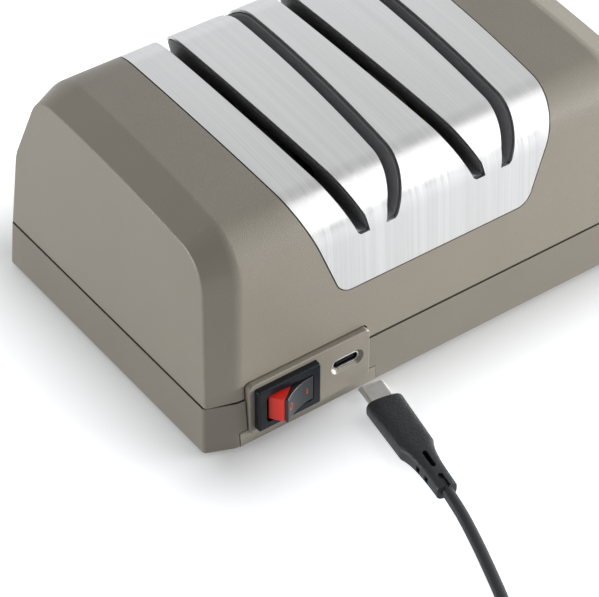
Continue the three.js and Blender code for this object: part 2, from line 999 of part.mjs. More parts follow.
function usbSocket() {
  const front = SOCKET.recessDepth - PANEL.proud;
  const back = front + SOCKET.depth;
  const shell = prismY(
    stadium(socketX, SOCKET.z, SOCKET.width, SOCKET.height, SOCKET.capSteps),
    front,
    back,
  );
  const hollow = prismY(
    stadium(
      socketX,
      SOCKET.z,
      SOCKET.width - 2 * SOCKET.wall,
      SOCKET.height - 2 * SOCKET.wall,
      SOCKET.capSteps,
    ),
    front - OVERRUN,
    back - SOCKET.wall,
  );
  const tongue = prismY(
    rectangle(socketX, SOCKET.z, SOCKET.tongueWidth, SOCKET.tongueThickness),
    front + SOCKET.tongueInset,
    back - SOCKET.wall / 2,
  );
  return shell.subtract(hollow).add(tongue);
}

const chargingBoard = () =>
  block(
    boardLeft,
    boardLeft + BOARD.length,
    boardFront,
    boardFront + BOARD.depth,
    boardTop - BOARD.thickness,
    boardTop,
  );

const cellHeight = CASE.floor + CRADLE.plate + GAP + CELL.radius;

const batteryCell = (y) =>
  union([
    cylinderX(CELL.radius, cellLeft, cellLeft + CELL.length, y, cellHeight),
    cylinderX(
      CELL.capRadius,
      cellLeft + CELL.length - CELL.cap,
      cellLeft + CELL.length + CELL.cap,
      y,
      cellHeight,
      SMALL_ROUND_SIDES,
    ),
  ]);

function batteryCradle() {
  const [first, second] = CELL_ROWS;
  const left = cellLeft - GAP - CRADLE.end;
  const right = cellLeft + CELL.length + CELL.cap + GAP + CRADLE.end;
  const front = first - CELL.radius + CRADLE.margin;
  const back = second + CELL.radius - CRADLE.margin;
  const bottom = CASE.floor;
  const plate = block(left, right, front, back, bottom, bottom + CRADLE.plate);
  const ends = [left, right - CRADLE.end].map((x) =>
    block(x, x + CRADLE.end, front, back, bottom, bottom + CRADLE.height),
  );
  return union([plate, ...ends]);
}

function motorSolid() {
  const [y, z] = [SPINDLE.y, spindleHeight];
  return union([
    cylinderX(MOTOR.radius, motorLeft, motorFront, y, z),
    cylinderX(
      MOTOR.bossRadius,
      motorFront - MOTOR.bossLength,
      motorFront + MOTOR.bossLength,
      y,
      z,
      SMALL_ROUND_SIDES,
    ),
  ]).subtract(
    cylinderX(
      MOTOR.shaftRadius + GAP,
      motorFront - MOTOR.boreDepth,
      motorFront + OVERRUN,
      y,
      z,
      SMALL_ROUND_SIDES,
    ),
  );
}

// Motor mount: a front plate round the boss and two saddles under the can, on one foot plate
function motorMount() {
  const [y, z] = [SPINDLE.y, spindleHeight];
  const bottom = CASE.floor;
  const front = motorFront + GAP;
  const back = motorLeft + MOTOR_MOUNT.saddleBack;
  const plate = block(
    front,
    front + MOTOR_MOUNT.plate,
    y - MOTOR_MOUNT.halfDepth,
    y + MOTOR_MOUNT.halfDepth,
    bottom,
    z + MOTOR_MOUNT.head,
  );
  const saddles = [back, front - 2 * MOTOR_MOUNT.saddle].map((x) =>
    block(
      x,
      x + MOTOR_MOUNT.saddle,
      y - MOTOR_MOUNT.saddleHalfDepth,
      y + MOTOR_MOUNT.saddleHalfDepth,
      bottom,
      z - MOTOR.radius / 2,
    ),
  );
  const foot = block(
    back,
    front + MOTOR_MOUNT.plate,
    y - MOTOR_MOUNT.halfDepth,
    y + MOTOR_MOUNT.halfDepth,
    bottom,
    bottom + MOTOR_MOUNT.footThickness,
  );
  return without(union([plate, ...saddles, foot]), [
    cylinderX(MOTOR.radius + GAP, motorLeft - OVERRUN, front, y, z),
    cylinderX(
      COUPLING.radius + 2 * GAP,
      front - OVERRUN,
      front + OVERRUN,
      y,
      z,
    ),
  ]);
}

// Bearing bracket: an upright with a bearing seat, on a foot plate
const bearingBracket = (left) => {
  const [y, z] = [SPINDLE.y, spindleHeight];
  const bottom = CASE.floor;
  const middle = left + BRACKET.thickness / 2;
  const upright = block(
    left,
    left + BRACKET.thickness,
    y - BRACKET.halfDepth,
    y + BRACKET.halfDepth,
    bottom,
    z + BEARING.radius + BRACKET.head,
  );
  const foot = block(
    middle - BRACKET.footLength / 2,
    middle + BRACKET.footLength / 2,
    y - BRACKET.halfDepth,
    y + BRACKET.halfDepth,
    bottom,
    bottom + BRACKET.footThickness,
  );
  return upright
    .add(foot)
    .subtract(
      cylinderX(
        BEARING.radius + GAP,
        left - OVERRUN,
        left + BRACKET.thickness + OVERRUN,
        y,
        z,
      ),
    );
};

const ring = (outer, bore, left, right) =>
  cylinderX(outer, left, right, SPINDLE.y, spindleHeight).subtract(
    cylinderX(bore, left - OVERRUN, right + OVERRUN, SPINDLE.y, spindleHeight),
  );

const bearing = (left) =>
  ring(BEARING.radius, SPINDLE.radius + GAP, left, left + BEARING.length);

const spindleShaft = () =>
  cylinderX(SPINDLE.radius, spindleLeft, spindleRight, SPINDLE.y, spindleHeight);

const motorShaft = () =>
  cylinderX(
    MOTOR.shaftRadius,
    motorFront - MOTOR.boreDepth + GAP,
    spindleLeft - GAP,
    SPINDLE.y,
    spindleHeight,
    SMALL_ROUND_SIDES,
  );

function shaftCoupling() {
  const [y, z] = [SPINDLE.y, spindleHeight];
  return without(
    cylinderX(COUPLING.radius, couplingLeft, couplingRight, y, z),
    [
      cylinderX(
        MOTOR.shaftRadius + GAP,
        couplingLeft - OVERRUN,
        couplingRight,
        y,
        z,
        SMALL_ROUND_SIDES,
      ),
      cylinderX(
        SPINDLE.radius + GAP,
        spindleLeft - GAP,
        couplingRight + OVERRUN,
        y,
        z,
      ),
    ],
  );
}

// A turned piece round the spindle from a closed profile of radius and distance along X
const turned = (profile, centre, side) => {
  const points = profile.map(([r, along]) => new THREE.Vector2(r, along));
  points.push(points[0].clone());
  const geometry = new THREE.LatheGeometry(points, ROUND_SIDES)
    .rotateZ(-Math.PI / 2)
    .scale(side, 1, 1)
    .translate(centre, SPINDLE.y, spindleHeight);
  const plain = geometry.clone();
  plain.deleteAttribute("normal");
  plain.deleteAttribute("uv");
  return facingOut(mergeVertices(plain, WELD));
};

const sharpeningDisc = (centre, side) =>
  turned(
    [
      [SPINDLE.radius + GAP, DISC.hubInner],
      [DISC.cupRadius, DISC.hubInner],
      [DISC.cupRadius, DISC.innerFace],
      [DISC.radius, DISC.innerFace],
      [DISC.radius, DISC.rimFace - (DISC.radius - DISC.rimRadius)],
      [DISC.rimRadius, DISC.rimFace],
      [DISC.hubRadius, DISC.hubFace],
      [SPINDLE.radius + GAP, DISC.hubFace],
    ],
    centre,
    side,
  );

const springCollar = (centre) =>
  ring(
    COLLAR.radius,
    SPINDLE.radius + GAP,
    centre - COLLAR.halfLength,
    centre + COLLAR.halfLength,
  );

const discSpring = (centre, side) => {
  const near = centre + side * (COLLAR.halfLength + GAP);
  const far = centre + side * (DISC.hubInner - GAP);
  return ring(
    SPRING.radius,
    SPRING.bore,
    Math.min(near, far),
    Math.max(near, far),
  );
};

const rubberFoot = ([x, y]) =>
  cylinderZ(FOOT.radius, x, y, -FOOT.height, FOOT.recess - GAP);

const baseScrew = ([x, y]) => {
  const top = SCREW.depth - GAP;
  return union([
    cylinderZ(SCREW.headRadius, x, y, top - SCREW.headHeight, top, SMALL_ROUND_SIDES),
    cylinderZ(SCREW.radius, x, y, top - SCREW.headHeight / 2, SCREW.length, SMALL_ROUND_SIDES),
  ]);
};

// Plugs in their own frames: along -Y from the mouth, centred on the shell
const hollowShell = (width, height, length, wall, mouth, steps) => {
  const outer = prismY(stadiumOrBox(width, height, steps), -length, 0);
  const hollow = prismY(
    stadiumOrBox(width - 2 * wall, height - 2 * wall, steps),
    -mouth,
    OVERRUN,
  );
  return outer.subtract(hollow);
};

const stadiumOrBox = (width, height, steps) =>
  steps ? stadium(0, 0, width, height, steps) : rectangle(0, 0, width, height);

const plugShellC = () =>
  hollowShell(
    PLUG_C.shellWidth,
    PLUG_C.shellHeight,
    PLUG_C.shellLength,
    PLUG_C.shellWall,
    PLUG_C.mouth,
    PLUG_C.capSteps,
  );

// Overmould: a rounded body, a short neck and a slim strain relief
function overmouldC() {
  const p = PLUG_C;
  const start = -p.shellLength - GAP;
  const bodyEnd = start - p.bodyLength;
  const neckEnd = bodyEnd - p.neckLength;
  const ringAt = (y, width, height) =>
    stadium(0, 0, width, height, p.capSteps).map(([x, z]) => [x, y, z]);
  const rings = [
    ringAt(start, p.bodyWidth, p.bodyHeight),
    ringAt(bodyEnd, p.neckWidth, p.bodyHeight),
    ringAt(neckEnd, p.tailWidth, p.tailHeight),
    ringAt(neckEnd - p.tailLength, p.tailWidth, p.tailHeight),
  ];
  const caps = flatFaces(rings[0].map(([x, , z]) => [x, z]));
  return facingOut(loft(rings, caps));
}

const plugLengthC =
  PLUG_C.shellLength +
  GAP +
  PLUG_C.bodyLength +
  PLUG_C.neckLength +
  PLUG_C.tailLength;

const plugShellA = () =>
  hollowShell(
    PLUG_A.shellWidth,
    PLUG_A.shellHeight,
    PLUG_A.shellLength,
    PLUG_A.shellWall,
    PLUG_A.mouth,
    0,
  );

const overmouldA = () => {
  const start = -PLUG_A.shellLength - GAP;
  const end = start - PLUG_A.bodyLength;
  const body = prismY(
    rectangle(0, 0, PLUG_A.bodyWidth, PLUG_A.bodyHeight, PLUG_A.tailRadius / 2),
    end,
    start,
  );
  const tail = prismY(
    stadium(0, 0, 2 * PLUG_A.tailRadius, 2 * PLUG_A.tailRadius, SOCKET.capSteps),
    end - PLUG_A.tailLength,
    end + OVERRUN / 2,
  );
  return body.add(tail);
};
const plugLengthA =
  PLUG_A.shellLength + GAP + PLUG_A.bodyLength + PLUG_A.tailLength;

// Cord: a tube through points, with flat ends square to its first and last stretch
const tube = (points, radius, sides) => {
  const up = new THREE.Vector3(0, 0, 1);
  const rings = points.map((point, i) => {
    const before = points[Math.max(i - 1, 0)];
    const after = points[Math.min(i + 1, points.length - 1)];
    const ahead = after.clone().sub(before).normalize();
    const across = new THREE.Vector3().crossVectors(ahead, up).normalize();
    const above = new THREE.Vector3().crossVectors(across, ahead);
    return Array.from({ length: sides }, (_, k) => {
      const angle = (2 * Math.PI * (k + 0.5)) / sides;
      const place = point
        .clone()
        .addScaledVector(across, radius * Math.cos(angle))
        .addScaledVector(above, radius * Math.sin(angle));
      return [place.x, place.y, place.z];
    });
  });
  const caps = flatFaces(
    Array.from({ length: sides }, (_, k) => {
      const angle = (2 * Math.PI * (k + 0.5)) / sides;
      return [Math.cos(angle), Math.sin(angle)];
    }),
  );
  return facingOut(loft(rings, caps));
};

const cordPoints = () => {
  const curve = new THREE.CatmullRomCurve3(
    CORD_PLACES.map(([x, y, z]) => new THREE.Vector3(x, y, z)),
    false,
    "centripetal",
  );
  const steps = Math.round(curve.getLength() / LEAD.step);
  return curve.getSpacedPoints(steps);
};

// Coil: spirals in on the floor, climbs in half a turn and spirals out again above
const coilPoints = () => {
  const cord = cordPoints();
  const end = cord[cord.length - 1];
  const heading = end.clone().sub(cord[cord.length - 2]).setZ(0).normalize();
  const pitch = 2 * LEAD.cordRadius + COIL.clear;
  const outer = COIL.midRadius + (pitch * COIL.turnsIn) / 2;
  const inwards = new THREE.Vector3(heading.y, -heading.x, 0);
  const start = end.clone().addScaledVector(heading, GAP);
  const straight = 2 * LEAD.cordRadius;
  const entry = start.clone().addScaledVector(heading, straight);
  const centre = entry.clone().addScaledVector(inwards, outer);
  const first = Math.atan2(entry.y - centre.y, entry.x - centre.x);
  const total = COIL.turnsIn + COIL.turnsClimb + COIL.turnsOut;
  const reversal = COIL.turnsIn + COIL.turnsClimb / 2;
  const count = Math.round(total * COIL.stepsPerTurn);
  const points = [start];
  for (let i = 0; i <= count; i++) {
    const turn = (total * i) / count;
    const climb = THREE.MathUtils.smoothstep(
      turn,
      COIL.turnsIn,
      COIL.turnsIn + COIL.turnsClimb,
    );
    const radius = outer - pitch * (reversal - Math.abs(turn - reversal));
    const angle = first - 2 * Math.PI * turn;
    points.push(
      new THREE.Vector3(
        centre.x + radius * Math.cos(angle),
        centre.y + radius * Math.sin(angle),
        start.z + pitch * climb,
      ),
    );
  }
  const last = points[points.length - 1];
  const leave = last.clone().sub(points[points.length - 2]).setZ(0).normalize();
  const over = last.clone().addScaledVector(leave, COIL.leadOut);
  const down = over.clone().addScaledVector(leave, COIL.drop).setZ(PLUG_A.z);
  const stop = down.clone().addScaledVector(leave, straight);
  points.push(over, down, stop);
  return points;
};

// The least free space between turns that aren't neighbours along the tube
const leastGap = (points, radius) => {
  let least = Infinity;
  const reach = COIL.stepsPerTurn / 2;
  points.forEach((point, i) =>
    points.slice(i + reach).forEach((other) => {
      least = Math.min(least, point.distanceTo(other) - 2 * radius);
    }),
  );
  return least;
};

// Finishes
const finish = (color, roughness, metalness = 0) =>
  new THREE.MeshStandardMaterial({ color, roughness, metalness });
const FINISHES = {
  housing: finish(0x8e877a, 0.5),
  steel: finish(0xc9cbcc, 0.3, 1),
  black: finish(0x17191b, 0.45),
  frame: finish(0x23282c, 0.4),
  rocker: finish(0x3c4144, 0.5),
  shell: finish(0x97989a, 0.3, 1),
  rubber: finish(0x1d1d1f, 0.8),
  board: finish(0x1e5a35, 0.5),
  cell: finish(0x2f6fa8, 0.4),
  abrasive: finish(0xa9a49a, 0.9),
  honing: finish(0xd9d4c6, 0.8),
  zinc: finish(0xb0b2b5, 0.35, 1),
  lead: finish(0x32353a, 0.6),
};

// Assembly
const appliance = new THREE.Group();
const charger = new THREE.Group();
const sharpener = new THREE.Group();
sharpener.add(appliance, charger);

const tipAngle = ROCKER_TIP - ROCKER_THROW;
const rockerReach =
  ROCKER.tipRadius * Math.cos(tipAngle) - ROCKER.pivotBehindFoot;
appliance.position.set(0, (rockerReach - DEPTH) / 2, FOOT.height);

const add = (group, name, solid, material) => {
  const mesh = new THREE.Mesh(toGeometry(solid), material);
  mesh.name = name;
  group.add(mesh);
  return mesh;
};

add(appliance, "upper_housing", upperHousing(), FINISHES.housing);
add(appliance, "base_shell", baseShell(), FINISHES.housing);
add(appliance, "front_panel", frontPanel(), FINISHES.housing);
add(appliance, "guide_plate", guidePlate(), FINISHES.steel);
add(appliance, "switch_frame", switchFrame(), FINISHES.frame);
add(appliance, "usb_socket", usbSocket(), FINISHES.shell);
add(appliance, "charging_board", chargingBoard(), FINISHES.board);
add(appliance, "battery_cradle", batteryCradle(), FINISHES.black);
add(appliance, "motor", motorSolid(), FINISHES.zinc);
add(appliance, "motor_mount", motorMount(), FINISHES.black);
add(appliance, "motor_shaft", motorShaft(), FINISHES.zinc);
add(appliance, "spindle_shaft", spindleShaft(), FINISHES.zinc);
add(appliance, "shaft_coupling", shaftCoupling(), FINISHES.black);

const rocker = add(appliance, "rocker", rockerSolid(), FINISHES.rocker);
rocker.position.set(switchX, ROCKER.pivotBehindFoot, SWITCH.z);
rocker.rotation.z = ROCKER_THROW;

CELL_ROWS.forEach((y, i) =>
  add(appliance, `battery_cell_${i + 1}`, batteryCell(y), FINISHES.cell),
);
bearingPlaces.forEach((left, i) => {
  add(appliance, `bearing_bracket_${i + 1}`, bearingBracket(left), FINISHES.black);
  add(appliance, `bearing_${i + 1}`, bearing(left), FINISHES.zinc);
});
STAGE_CENTRES.forEach((centre, i) => {
  const stage = i + 1;
  const face = i ? FINISHES.honing : FINISHES.abrasive;
  add(appliance, `guide_insert_${stage}`, guideInsert(centre), FINISHES.black);
  add(appliance, `spring_collar_${stage}`, springCollar(centre), FINISHES.zinc);
  for (const [hand, side] of [["left", -1], ["right", 1]]) {
    add(appliance, `disc_${stage}_${hand}`, sharpeningDisc(centre, side), face);
    add(appliance, `disc_spring_${stage}_${hand}`, discSpring(centre, side), FINISHES.zinc);
  }
});
footPlaces.forEach((place, i) =>
  add(appliance, `foot_${i + 1}`, rubberFoot(place), FINISHES.rubber),
);
screwPlaces.forEach((place, i) =>
  add(appliance, `base_screw_${i + 1}`, baseScrew(place), FINISHES.zinc),
);

// Charging lead
const plugC = new THREE.Group();
plugC.position.set(PLUG_C.x, PLUG_C.y, PLUG_C.z);
plugC.rotation.z = PLUG_C_HEADING;
add(plugC, "usb_c_shell", plugShellC(), FINISHES.shell);
add(plugC, "usb_c_overmould", overmouldC(), FINISHES.lead);
charger.add(plugC);

const cord = cordPoints();
const coil = coilPoints();
add(charger, "charging_cord", tube(cord, LEAD.cordRadius, LEAD.sides), FINISHES.lead);
add(charger, "cord_coil", tube(coil, LEAD.cordRadius, COIL.sides), FINISHES.lead);
console.log(
  `coil: least gap to itself ${leastGap(coil, LEAD.cordRadius).toFixed(2)} mm`,
);

const coilEnd = coil[coil.length - 1];
const coilHeading = coilEnd.clone().sub(coil[coil.length - 2]).normalize();
const plugA = new THREE.Group();
plugA.position.copy(
  coilEnd.clone().addScaledVector(coilHeading, plugLengthA + GAP),
);
plugA.rotation.z = Math.atan2(coilHeading.y, coilHeading.x) - Math.PI / 2;
add(plugA, "usb_a_shell", plugShellA(), FINISHES.shell);
add(plugA, "usb_a_overmould", overmouldA(), FINISHES.lead);
charger.add(plugA);

export default sharpener;
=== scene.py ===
"""The looks of an electric knife sharpener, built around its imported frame.

Pieces are modelled in millimetres in the case's own frame: X from the middle of the case, Y from the
plane of its front foot, Z from its underside. They are placed in the part's frame, in metres, at the end.
"""

import json
import logging
import math
from dataclasses import dataclass
from enum import Enum
from typing import Callable, Iterable, Sequence

import bmesh
import bpy
from mathutils import Matrix, Vector

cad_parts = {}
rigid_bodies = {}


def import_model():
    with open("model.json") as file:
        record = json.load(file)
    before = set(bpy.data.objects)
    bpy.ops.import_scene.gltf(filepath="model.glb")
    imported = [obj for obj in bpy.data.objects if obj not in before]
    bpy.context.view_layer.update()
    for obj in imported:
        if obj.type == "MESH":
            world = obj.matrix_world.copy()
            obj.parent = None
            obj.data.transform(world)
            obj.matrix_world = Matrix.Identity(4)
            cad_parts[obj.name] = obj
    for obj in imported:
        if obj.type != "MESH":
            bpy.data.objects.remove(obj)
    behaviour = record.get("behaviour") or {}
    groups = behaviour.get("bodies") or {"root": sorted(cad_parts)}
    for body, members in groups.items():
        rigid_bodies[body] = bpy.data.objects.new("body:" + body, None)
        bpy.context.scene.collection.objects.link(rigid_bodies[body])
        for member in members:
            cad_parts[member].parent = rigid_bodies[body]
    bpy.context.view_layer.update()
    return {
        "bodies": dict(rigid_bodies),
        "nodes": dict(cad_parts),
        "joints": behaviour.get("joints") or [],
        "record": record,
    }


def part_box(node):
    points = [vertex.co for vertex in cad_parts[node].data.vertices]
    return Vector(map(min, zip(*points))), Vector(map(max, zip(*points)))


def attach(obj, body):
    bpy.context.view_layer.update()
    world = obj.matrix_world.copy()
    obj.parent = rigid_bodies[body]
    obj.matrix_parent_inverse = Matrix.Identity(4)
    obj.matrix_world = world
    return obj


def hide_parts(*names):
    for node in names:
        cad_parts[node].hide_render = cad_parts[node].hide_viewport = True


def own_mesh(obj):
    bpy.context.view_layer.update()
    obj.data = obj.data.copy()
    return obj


LOG = logging.getLogger("knife_sharpener")

MM = 0.001
GAP = 0.3
OVERRUN = 6.0
WELD = 0.0005
QUARTER = math.pi / 2

# How many degrees two faces must turn by to meet in a corner, a fold or a bend
CORNER = 60.0
FOLD = 40.0
BEND = 25.0

# Faces that meet at less than this many degrees are shaded as one surface
SMOOTH = 35.0

# An edge that spans more than this along an axis runs along it
RUN = 1.0

# How many finer layers a noise has
EVEN = 2.0
RICH = 3.0

Point = Sequence[float]


def linear(red: int, green: int, blue: int) -> tuple[float, float, float, float]:
    """Turns a colour as seen on a screen into the linear light that a shader takes.

    Args:
        red: Red, from 0 to 255.
        green: Green, from 0 to 255.
        blue: Blue, from 0 to 255.

    Returns:
        The colour in linear light, with full opacity.
    """
    shares = [value / 255 for value in (red, green, blue)]
    light = [s / 12.92 if s <= 0.04045 else ((s + 0.055) / 1.055) ** 2.4 for s in shares]
    return (light[0], light[1], light[2], 1.0)


def toned(colour: Point, factor: float) -> tuple[float, ...]:
    """A colour made darker or lighter by a factor, with full opacity."""
    return (*(min(1.0, c * factor) for c in colour[:3]), 1.0)


def polar(centre: Point, radius: float, angle: float) -> tuple[float, float]:
    """The point at an angle and a distance from a centre."""
    return centre[0] + radius * math.cos(angle), centre[1] + radius * math.sin(angle)


class Cut(Enum):
    """How one closed form changes another."""

    AWAY = "DIFFERENCE"
    WITHIN = "INTERSECT"
    JOIN = "UNION"


class Form:
    """A piece in the making: one bmesh, in millimetres."""

    def __init__(self) -> None:
        """Starts an empty form."""
        self.mesh = bmesh.new()

    def transform(self, matrix: Matrix) -> "Form":
        """Moves, turns or scales the whole form."""
        bmesh.ops.transform(self.mesh, matrix=matrix, verts=self.mesh.verts)
        return self

    def move(self, *offset: float) -> "Form":
        """Moves the whole form along X, Y and Z."""
        return self.transform(Matrix.Translation(offset))

    def tidy(self) -> "Form":
        """Merges doubled points and turns every face outwards."""
        bmesh.ops.remove_doubles(self.mesh, verts=self.mesh.verts, dist=WELD)
        bmesh.ops.recalc_face_normals(self.mesh, faces=self.mesh.faces)
        return self

    def bevel(self, edges: Iterable[bmesh.types.BMEdge], width: float, segments: int = 2) -> "Form":
        """Rounds some of the form's edges.

        Args:
            edges: The edges to round.
            width: How far the round reaches on each side.
            segments: How many strips make the round.

        Returns:
            The form itself.
        """
        bmesh.ops.bevel(
            self.mesh,
            geom=list(edges),
            offset=width,
            offset_type="OFFSET",
            segments=segments,
            profile=0.5,
            affect="EDGES",
            clamp_overlap=True,
            material=-1,
        )
        return self

    def sharp(self, least: float = CORNER) -> list[bmesh.types.BMEdge]:
        """The edges where two faces meet at more than an angle, in degrees."""
        self.mesh.normal_update()
        limit = math.radians(least)
        return [e for e in self.mesh.edges if len(e.link_faces) == 2 and e.calc_face_angle() > limit]

    def running(self, axis: int) -> list[bmesh.types.BMEdge]:
        """The edges that run along X, Y or Z, counted from 0."""
        return [e for e in self.mesh.edges if abs(e.verts[0].co[axis] - e.verts[1].co[axis]) > RUN]

    def rounded(self, width: float, segments: int = 2, least: float = CORNER) -> "Form":
        """Rounds every edge that is sharper than an angle."""
        return self.bevel(self.sharp(least), width, segments)

    def slice(self, point: Point, normal: Point) -> "Form":
        """Closes the form at a plane, and takes away what lies on the side that its normal points to."""
        everything = [*self.mesh.verts, *self.mesh.edges, *self.mesh.faces]
        cut = bmesh.ops.bisect_plane(
            self.mesh, geom=everything, dist=WELD, plane_co=point, plane_no=normal, clear_outer=True
        )
        edges = [g for g in cut["geom_cut"] if isinstance(g, bmesh.types.BMEdge)]
        bmesh.ops.edgeloop_fill(self.mesh, edges=edges)
        return self

    def spin(
        self,
        geom: Iterable[object],
        centre: Point,
        axis: Point,
        angle: float,
        steps: int,
        rise: Point = (0, 0, 0),
        full: bool = False,
    ) -> "Form":
        """Sweeps a part of the form round an axis.

        Args:
            geom: The points, edges or faces to sweep.
            centre: A point on the axis.
            axis: The axis.
            angle: How far the sweep goes, in radians.
            steps: How many steps it takes.
            rise: How far each step moves the part as well.
            full: Whether the last step is joined to the first.

        Returns:
            The form itself.
        """
        bmesh.ops.spin(
            self.mesh,
            geom=list(geom),
            cent=centre,
            axis=axis,
            dvec=rise,
            angle=angle,
            steps=steps,
            use_merge=full,
            use_duplicate=False,
        )
        return self

    def with_cuts(self, others: Iterable["Form"], how: Cut) -> "Form":
        """Cuts this form by others, or joins them to it.

        Args:
            others: Closed forms. They are used up.
            how: What the others do to this form.

        Returns:
            The form itself, with its new shape.
        """
        holder = self.as_object("whole")
        tools = [other.as_object("tool") for other in others]
        for tool in tools:
            modifier = holder.modifiers.new("cut", "BOOLEAN")
            modifier.operation = how.value
            modifier.solver = "EXACT"
            modifier.object = tool
        bpy.context.view_layer.update()
        evaluated = holder.evaluated_get(bpy.context.evaluated_depsgraph_get())
        result = bpy.data.meshes.new_from_object(evaluated)
        self.mesh.clear()
        self.mesh.from_mesh(result)
        bpy.data.meshes.remove(result)
        for thing in [holder, *tools]:
            used = thing.data
            bpy.data.objects.remove(thing)
            bpy.data.meshes.remove(used)
        bmesh.ops.dissolve_degenerate(self.mesh, dist=WELD, edges=self.mesh.edges)
        return self.tidy()

    def as_object(self, name: str) -> bpy.types.Object:
        """Makes an object of the form as it stands, in millimetres."""
        data = bpy.data.meshes.new(name)
        self.mesh.to_mesh(data)
        made = bpy.data.objects.new(name, data)
        bpy.context.scene.collection.objects.link(made)
        return made

    def add(self, other: "Form") -> "Form":
        """Takes another form's mesh in beside this one's."""
        data = bpy.data.meshes.new("part")
        other.mesh.to_mesh(data)
        self.mesh.from_mesh(data)
        bpy.data.meshes.remove(data)
        return self

    def copy(self) -> "Form":
        """A second form with the same mesh."""
        return Form().add(self)


class Pen:
    """Traces an outline with lines and arcs in one plane, point by point, in a form of its own."""

    def __init__(self, lay: Callable[[float, float], Point], start: Point) -> None:
        """Puts the pen down.

        Args:
            lay: Turns the outline's two coordinates into a point in space.
            start: The first point's two coordinates.
        """
        self.form = Form()
        self.lay = lay
        self.axis = Vector(lay(1, 0)).cross(Vector(lay(0, 1)))
        self.verts = [bmesh.ops.create_vert(self.form.mesh, co=lay(*start))["vert"][0]]

    def line(self, *places: Point) -> "Pen":
        """Draws straight on through some places."""
        for place in places:
            made = bmesh.ops.extrude_vert_indiv(self.form.mesh, verts=[self.verts[-1]])
            made["verts"][0].co = self.lay(*place)
            self.verts.append(made["verts"][0])
        return self

    def arc(self, centre: Point, angle: float, steps: int) -> "Pen":
        """Turns on round a centre, by an angle in radians, left turns counted as positive."""
        known = set(self.form.mesh.verts)
        self.form.spin([self.verts[-1]], self.lay(*centre), self.axis, angle, steps)
        self.verts += [v for v in self.form.mesh.verts if v not in known]
        return self

    def corner(self, centre: Point, radius: float, start: float, turn: float, steps: int) -> "Pen":
        """Draws a line to the start of an arc, and then the arc."""
        return self.line(polar(centre, radius, start)).arc(centre, turn, steps)

    def face(self) -> bmesh.types.BMFace:
        """Closes the outline and fills it."""
        mesh = self.form.mesh
        first, last = self.verts[0], self.verts[-1]
        if (first.co - last.co).length < WELD:
            bmesh.ops.pointmerge(mesh, verts=[first, last], merge_co=first.co)
            self.verts.pop()
        else:
            bmesh.ops.contextual_create(mesh, geom=[last, first])
        edges = {e for v in self.verts for e in v.link_edges}
        return bmesh.ops.contextual_create(mesh, geom=list(edges))["faces"][0]


def in_yz(y: float, z: float) -> Point:
    """Lays an outline across the case, at X zero."""
    return (0, y, z)


def in_xz(x: float, z: float) -> Point:
    """Lays an outline along the case, at Y zero."""
    return (x, 0, z)


def in_xy(x: float, y: float) -> Point:
    """Lays an outline flat, at Z zero."""
    return (x, y, 0)


def drawn_out(
    form: Form, face: bmesh.types.BMFace, offset: Point, keep: bool = False
) -> tuple[bmesh.types.BMFace, list[bmesh.types.BMVert]]:
    """Pulls a face out of a form, with walls behind it.

    Args:
        form: The form that holds the face.
        face: The face to pull.
        offset: How far the face goes along X, Y and Z.
        keep: Whether the face also stays where it was, as a lone face's other end.

    Returns:
        The face where it ends up, and its points.
    """
    made = bmesh.ops.extrude_face_region(form.mesh, geom=[face], use_keep_orig=True)
    verts = [g for g in made["geom"] if isinstance(g, bmesh.types.BMVert)]
    bmesh.ops.translate(form.mesh, vec=offset, verts=verts)
    if not keep:
        bmesh.ops.delete(form.mesh, geom=[face], context="FACES_ONLY")
    return [g for g in made["geom"] if isinstance(g, bmesh.types.BMFace)][0], verts


def prism(pen: Pen, start: float, end: float) -> Form:
    """A straight bar between two places, square to the plane of the pen's outline.

    Args:
        pen: The pen that drew the outline.
        start: Where the bar starts, along the axis that the pen turns about.
        end: Where it ends.

    Returns:
        The closed bar.
    """
    form = pen.form
    face = pen.face()
    bmesh.ops.translate(form.mesh, vec=pen.axis * start, verts=form.mesh.verts)
    drawn_out(form, face, pen.axis * (end - start), True)
    return form.tidy()


def block(low: Point, high: Point) -> Form:
    """A plain block between two corners, to cut with or to shape further."""
    form = Form()
    bmesh.ops.create_cube(form.mesh, size=1)
    size = Vector(high) - Vector(low)
    middle = (Vector(high) + Vector(low)) / 2
    return form.transform(Matrix.Translation(middle) @ Matrix.Diagonal((*size, 1)))


class Axis(Enum):
    """The axis that a round form stands along, as the turn that takes Z to it."""

    X = Matrix.Rotation(QUARTER, 4, "Y")
    Y = Matrix.Rotation(QUARTER, 4, "X")
    Z = Matrix.Identity(4)


def turned(profile: Sequence[Point], axis: Axis, centre: Point, steps: int = 64) -> Form:
    """A turned form from a profile of radius and height, with the ends on the axis or joined to each other.

    Args:
        profile: Places as radius and height along the axis.
        axis: The axis to stand the form along.
        centre: Where the profile's zero height lies.
        steps: How many steps go round.

    Returns:
        The closed form.
    """
    form = Pen(in_xz, profile[0]).line(*profile[1:]).form
    everything = [*form.mesh.verts, *form.mesh.edges]
    form.spin(everything, (0, 0, 0), (0, 0, 1), math.tau, steps, full=True)
    return form.tidy().transform(Matrix.Translation(centre) @ axis.value)


def rod(radius: float, low: float, high: float, axis: Axis, centre: Point, steps: int = 48) -> Form:
    """A round bar between two heights along an axis."""
    profile = [(0, low), (radius, low), (radius, high), (0, high)]
    return turned(profile, axis, centre, steps)


